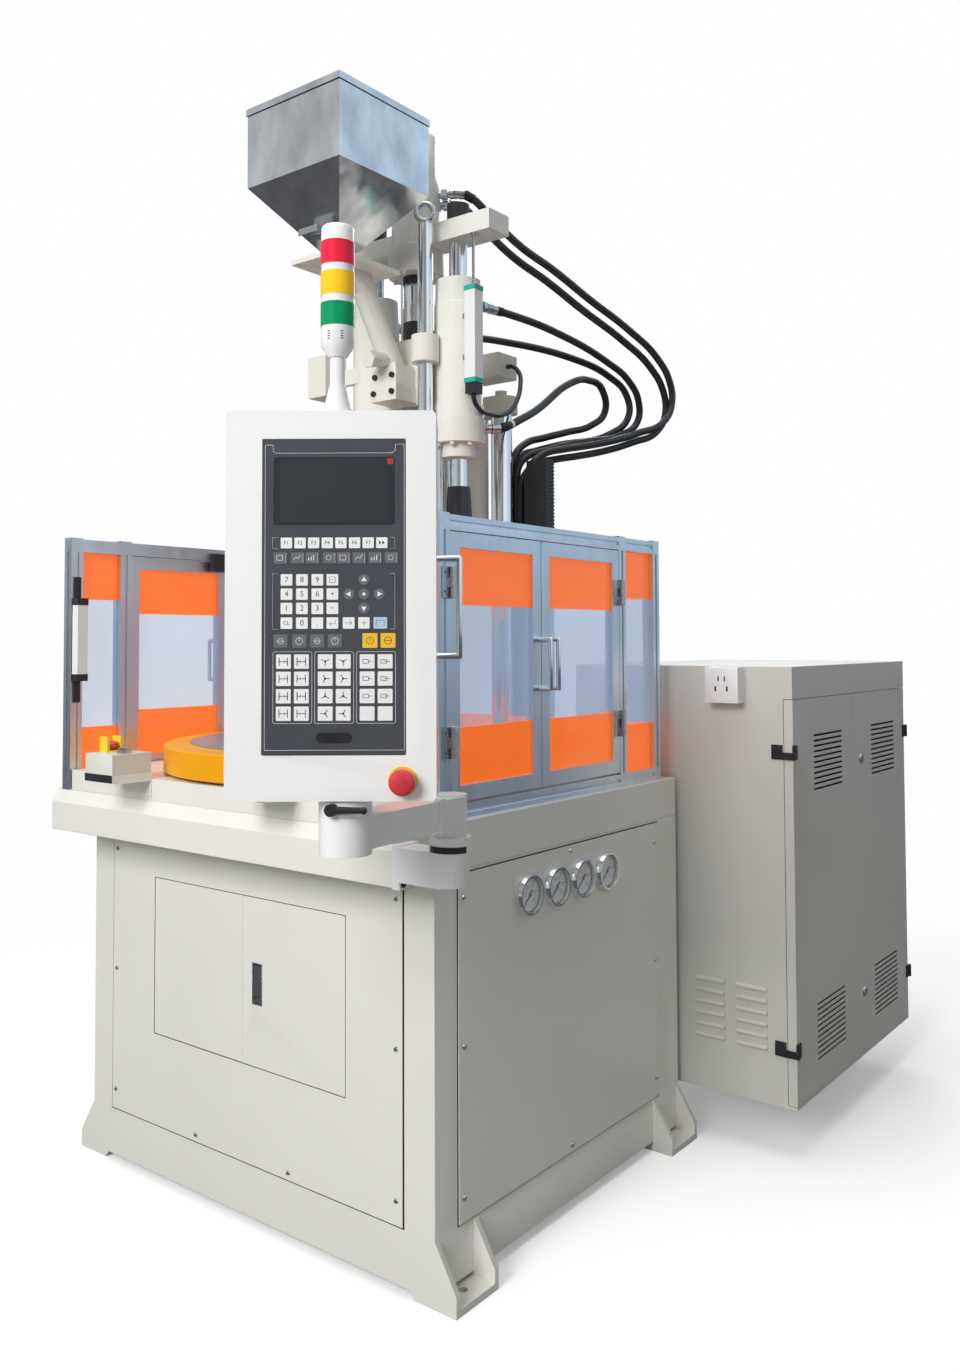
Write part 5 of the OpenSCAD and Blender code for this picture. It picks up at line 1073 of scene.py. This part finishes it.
# Painted shade: dark strips standing in for the shadow in the gaps round the covers and the front doors
FRONT_Y, SIDE_X = 464, 528
COVER_LOW, COVER_HIGH = 121, 770.5


def at_front(u, v, h):
    """The base's front."""
    return Vector((u, -FRONT_Y - h, v))


def at_right(u, v, h):
    """The base's right side."""
    return Vector((SIDE_X + h, u, v))


def at_left(u, v, h):
    """The base's left side."""
    return Vector((-SIDE_X - h, -u, v))


gap_shade = Sheet(at_front)
for corners in ((-455, 120, -452, 771), (452, 120, 455, 771), (-452, 120.2, 452, 123)):
    gap_shade.prism(box_of(*corners), 0.8, -0.5, 0)
for corners in ((-296, 324, -294.9, 674), (304.9, 324, 306, 674), (-295, 324, 305, 325.1),
                (-295, 672.9, 305, 674)):
    gap_shade.prism(box_of(*corners), 2.7, 2.2, 0)
gap_shade.build("front_gap_shade", [SEAL_AND_SHADE], "base", "cover_panels")
# The same painted shade in the gaps round the side covers
for name, place, u0, u1 in (("side_gap_shade_right", at_right, -396, 366),
                            ("side_gap_shade_left", at_left, -366, 396)):
    gap_shade = Sheet(place)
    for corners in ((u0 - 2.5, COVER_LOW, u0, COVER_HIGH), (u1, COVER_LOW, u1 + 2.5, COVER_HIGH),
                    (u0, COVER_LOW, u1, COVER_LOW + 2), (u0, COVER_HIGH - 2.5, u1, COVER_HIGH)):
        gap_shade.prism(box_of(*corners), 0.8, -0.5, 0)
    gap_shade.build(name, [SEAL_AND_SHADE], "base", "cover_panels")

# Closing strips of the sides, from the covers' rear edges to the rear columns
STRIP_WIDE, STRIP_LOW, STRIP_HIGH = 32, 154, 740
for name, place, edge in (("side_strip_right", at_right, 365), ("side_strip_left", at_left, -397)):
    strip = Sheet(place)
    strip.prism(box_of(edge, STRIP_LOW, edge + STRIP_WIDE, STRIP_HIGH), 0.05, -3, 0)
    strip.build(name, [IVORY], "base", "base_frame")

# Slits round the signal tower's white base, in two columns. Their u is an angle
BASE_R, SLIT_HALF, SLIT_LOW, SLIT_STEP, SLIT_HIGH = 24.8, 0.08, 112, 3.8, 1.6
slits = Sheet(lambda u, v, h: TOWER_FOOT + Vector((*polar(BASE_R + h, u), v)))
for middle in (rad(-77), rad(-30)):
    for k in range(4):
        low = SLIT_LOW + SLIT_STEP * k
        slits.prism(box_of(middle - SLIT_HALF, low, middle + SLIT_HALF, low + SLIT_HIGH), 0.3, -0.5, 0)
slits.build("tower_slits", [BLACK], "hmi", "signal_tower")
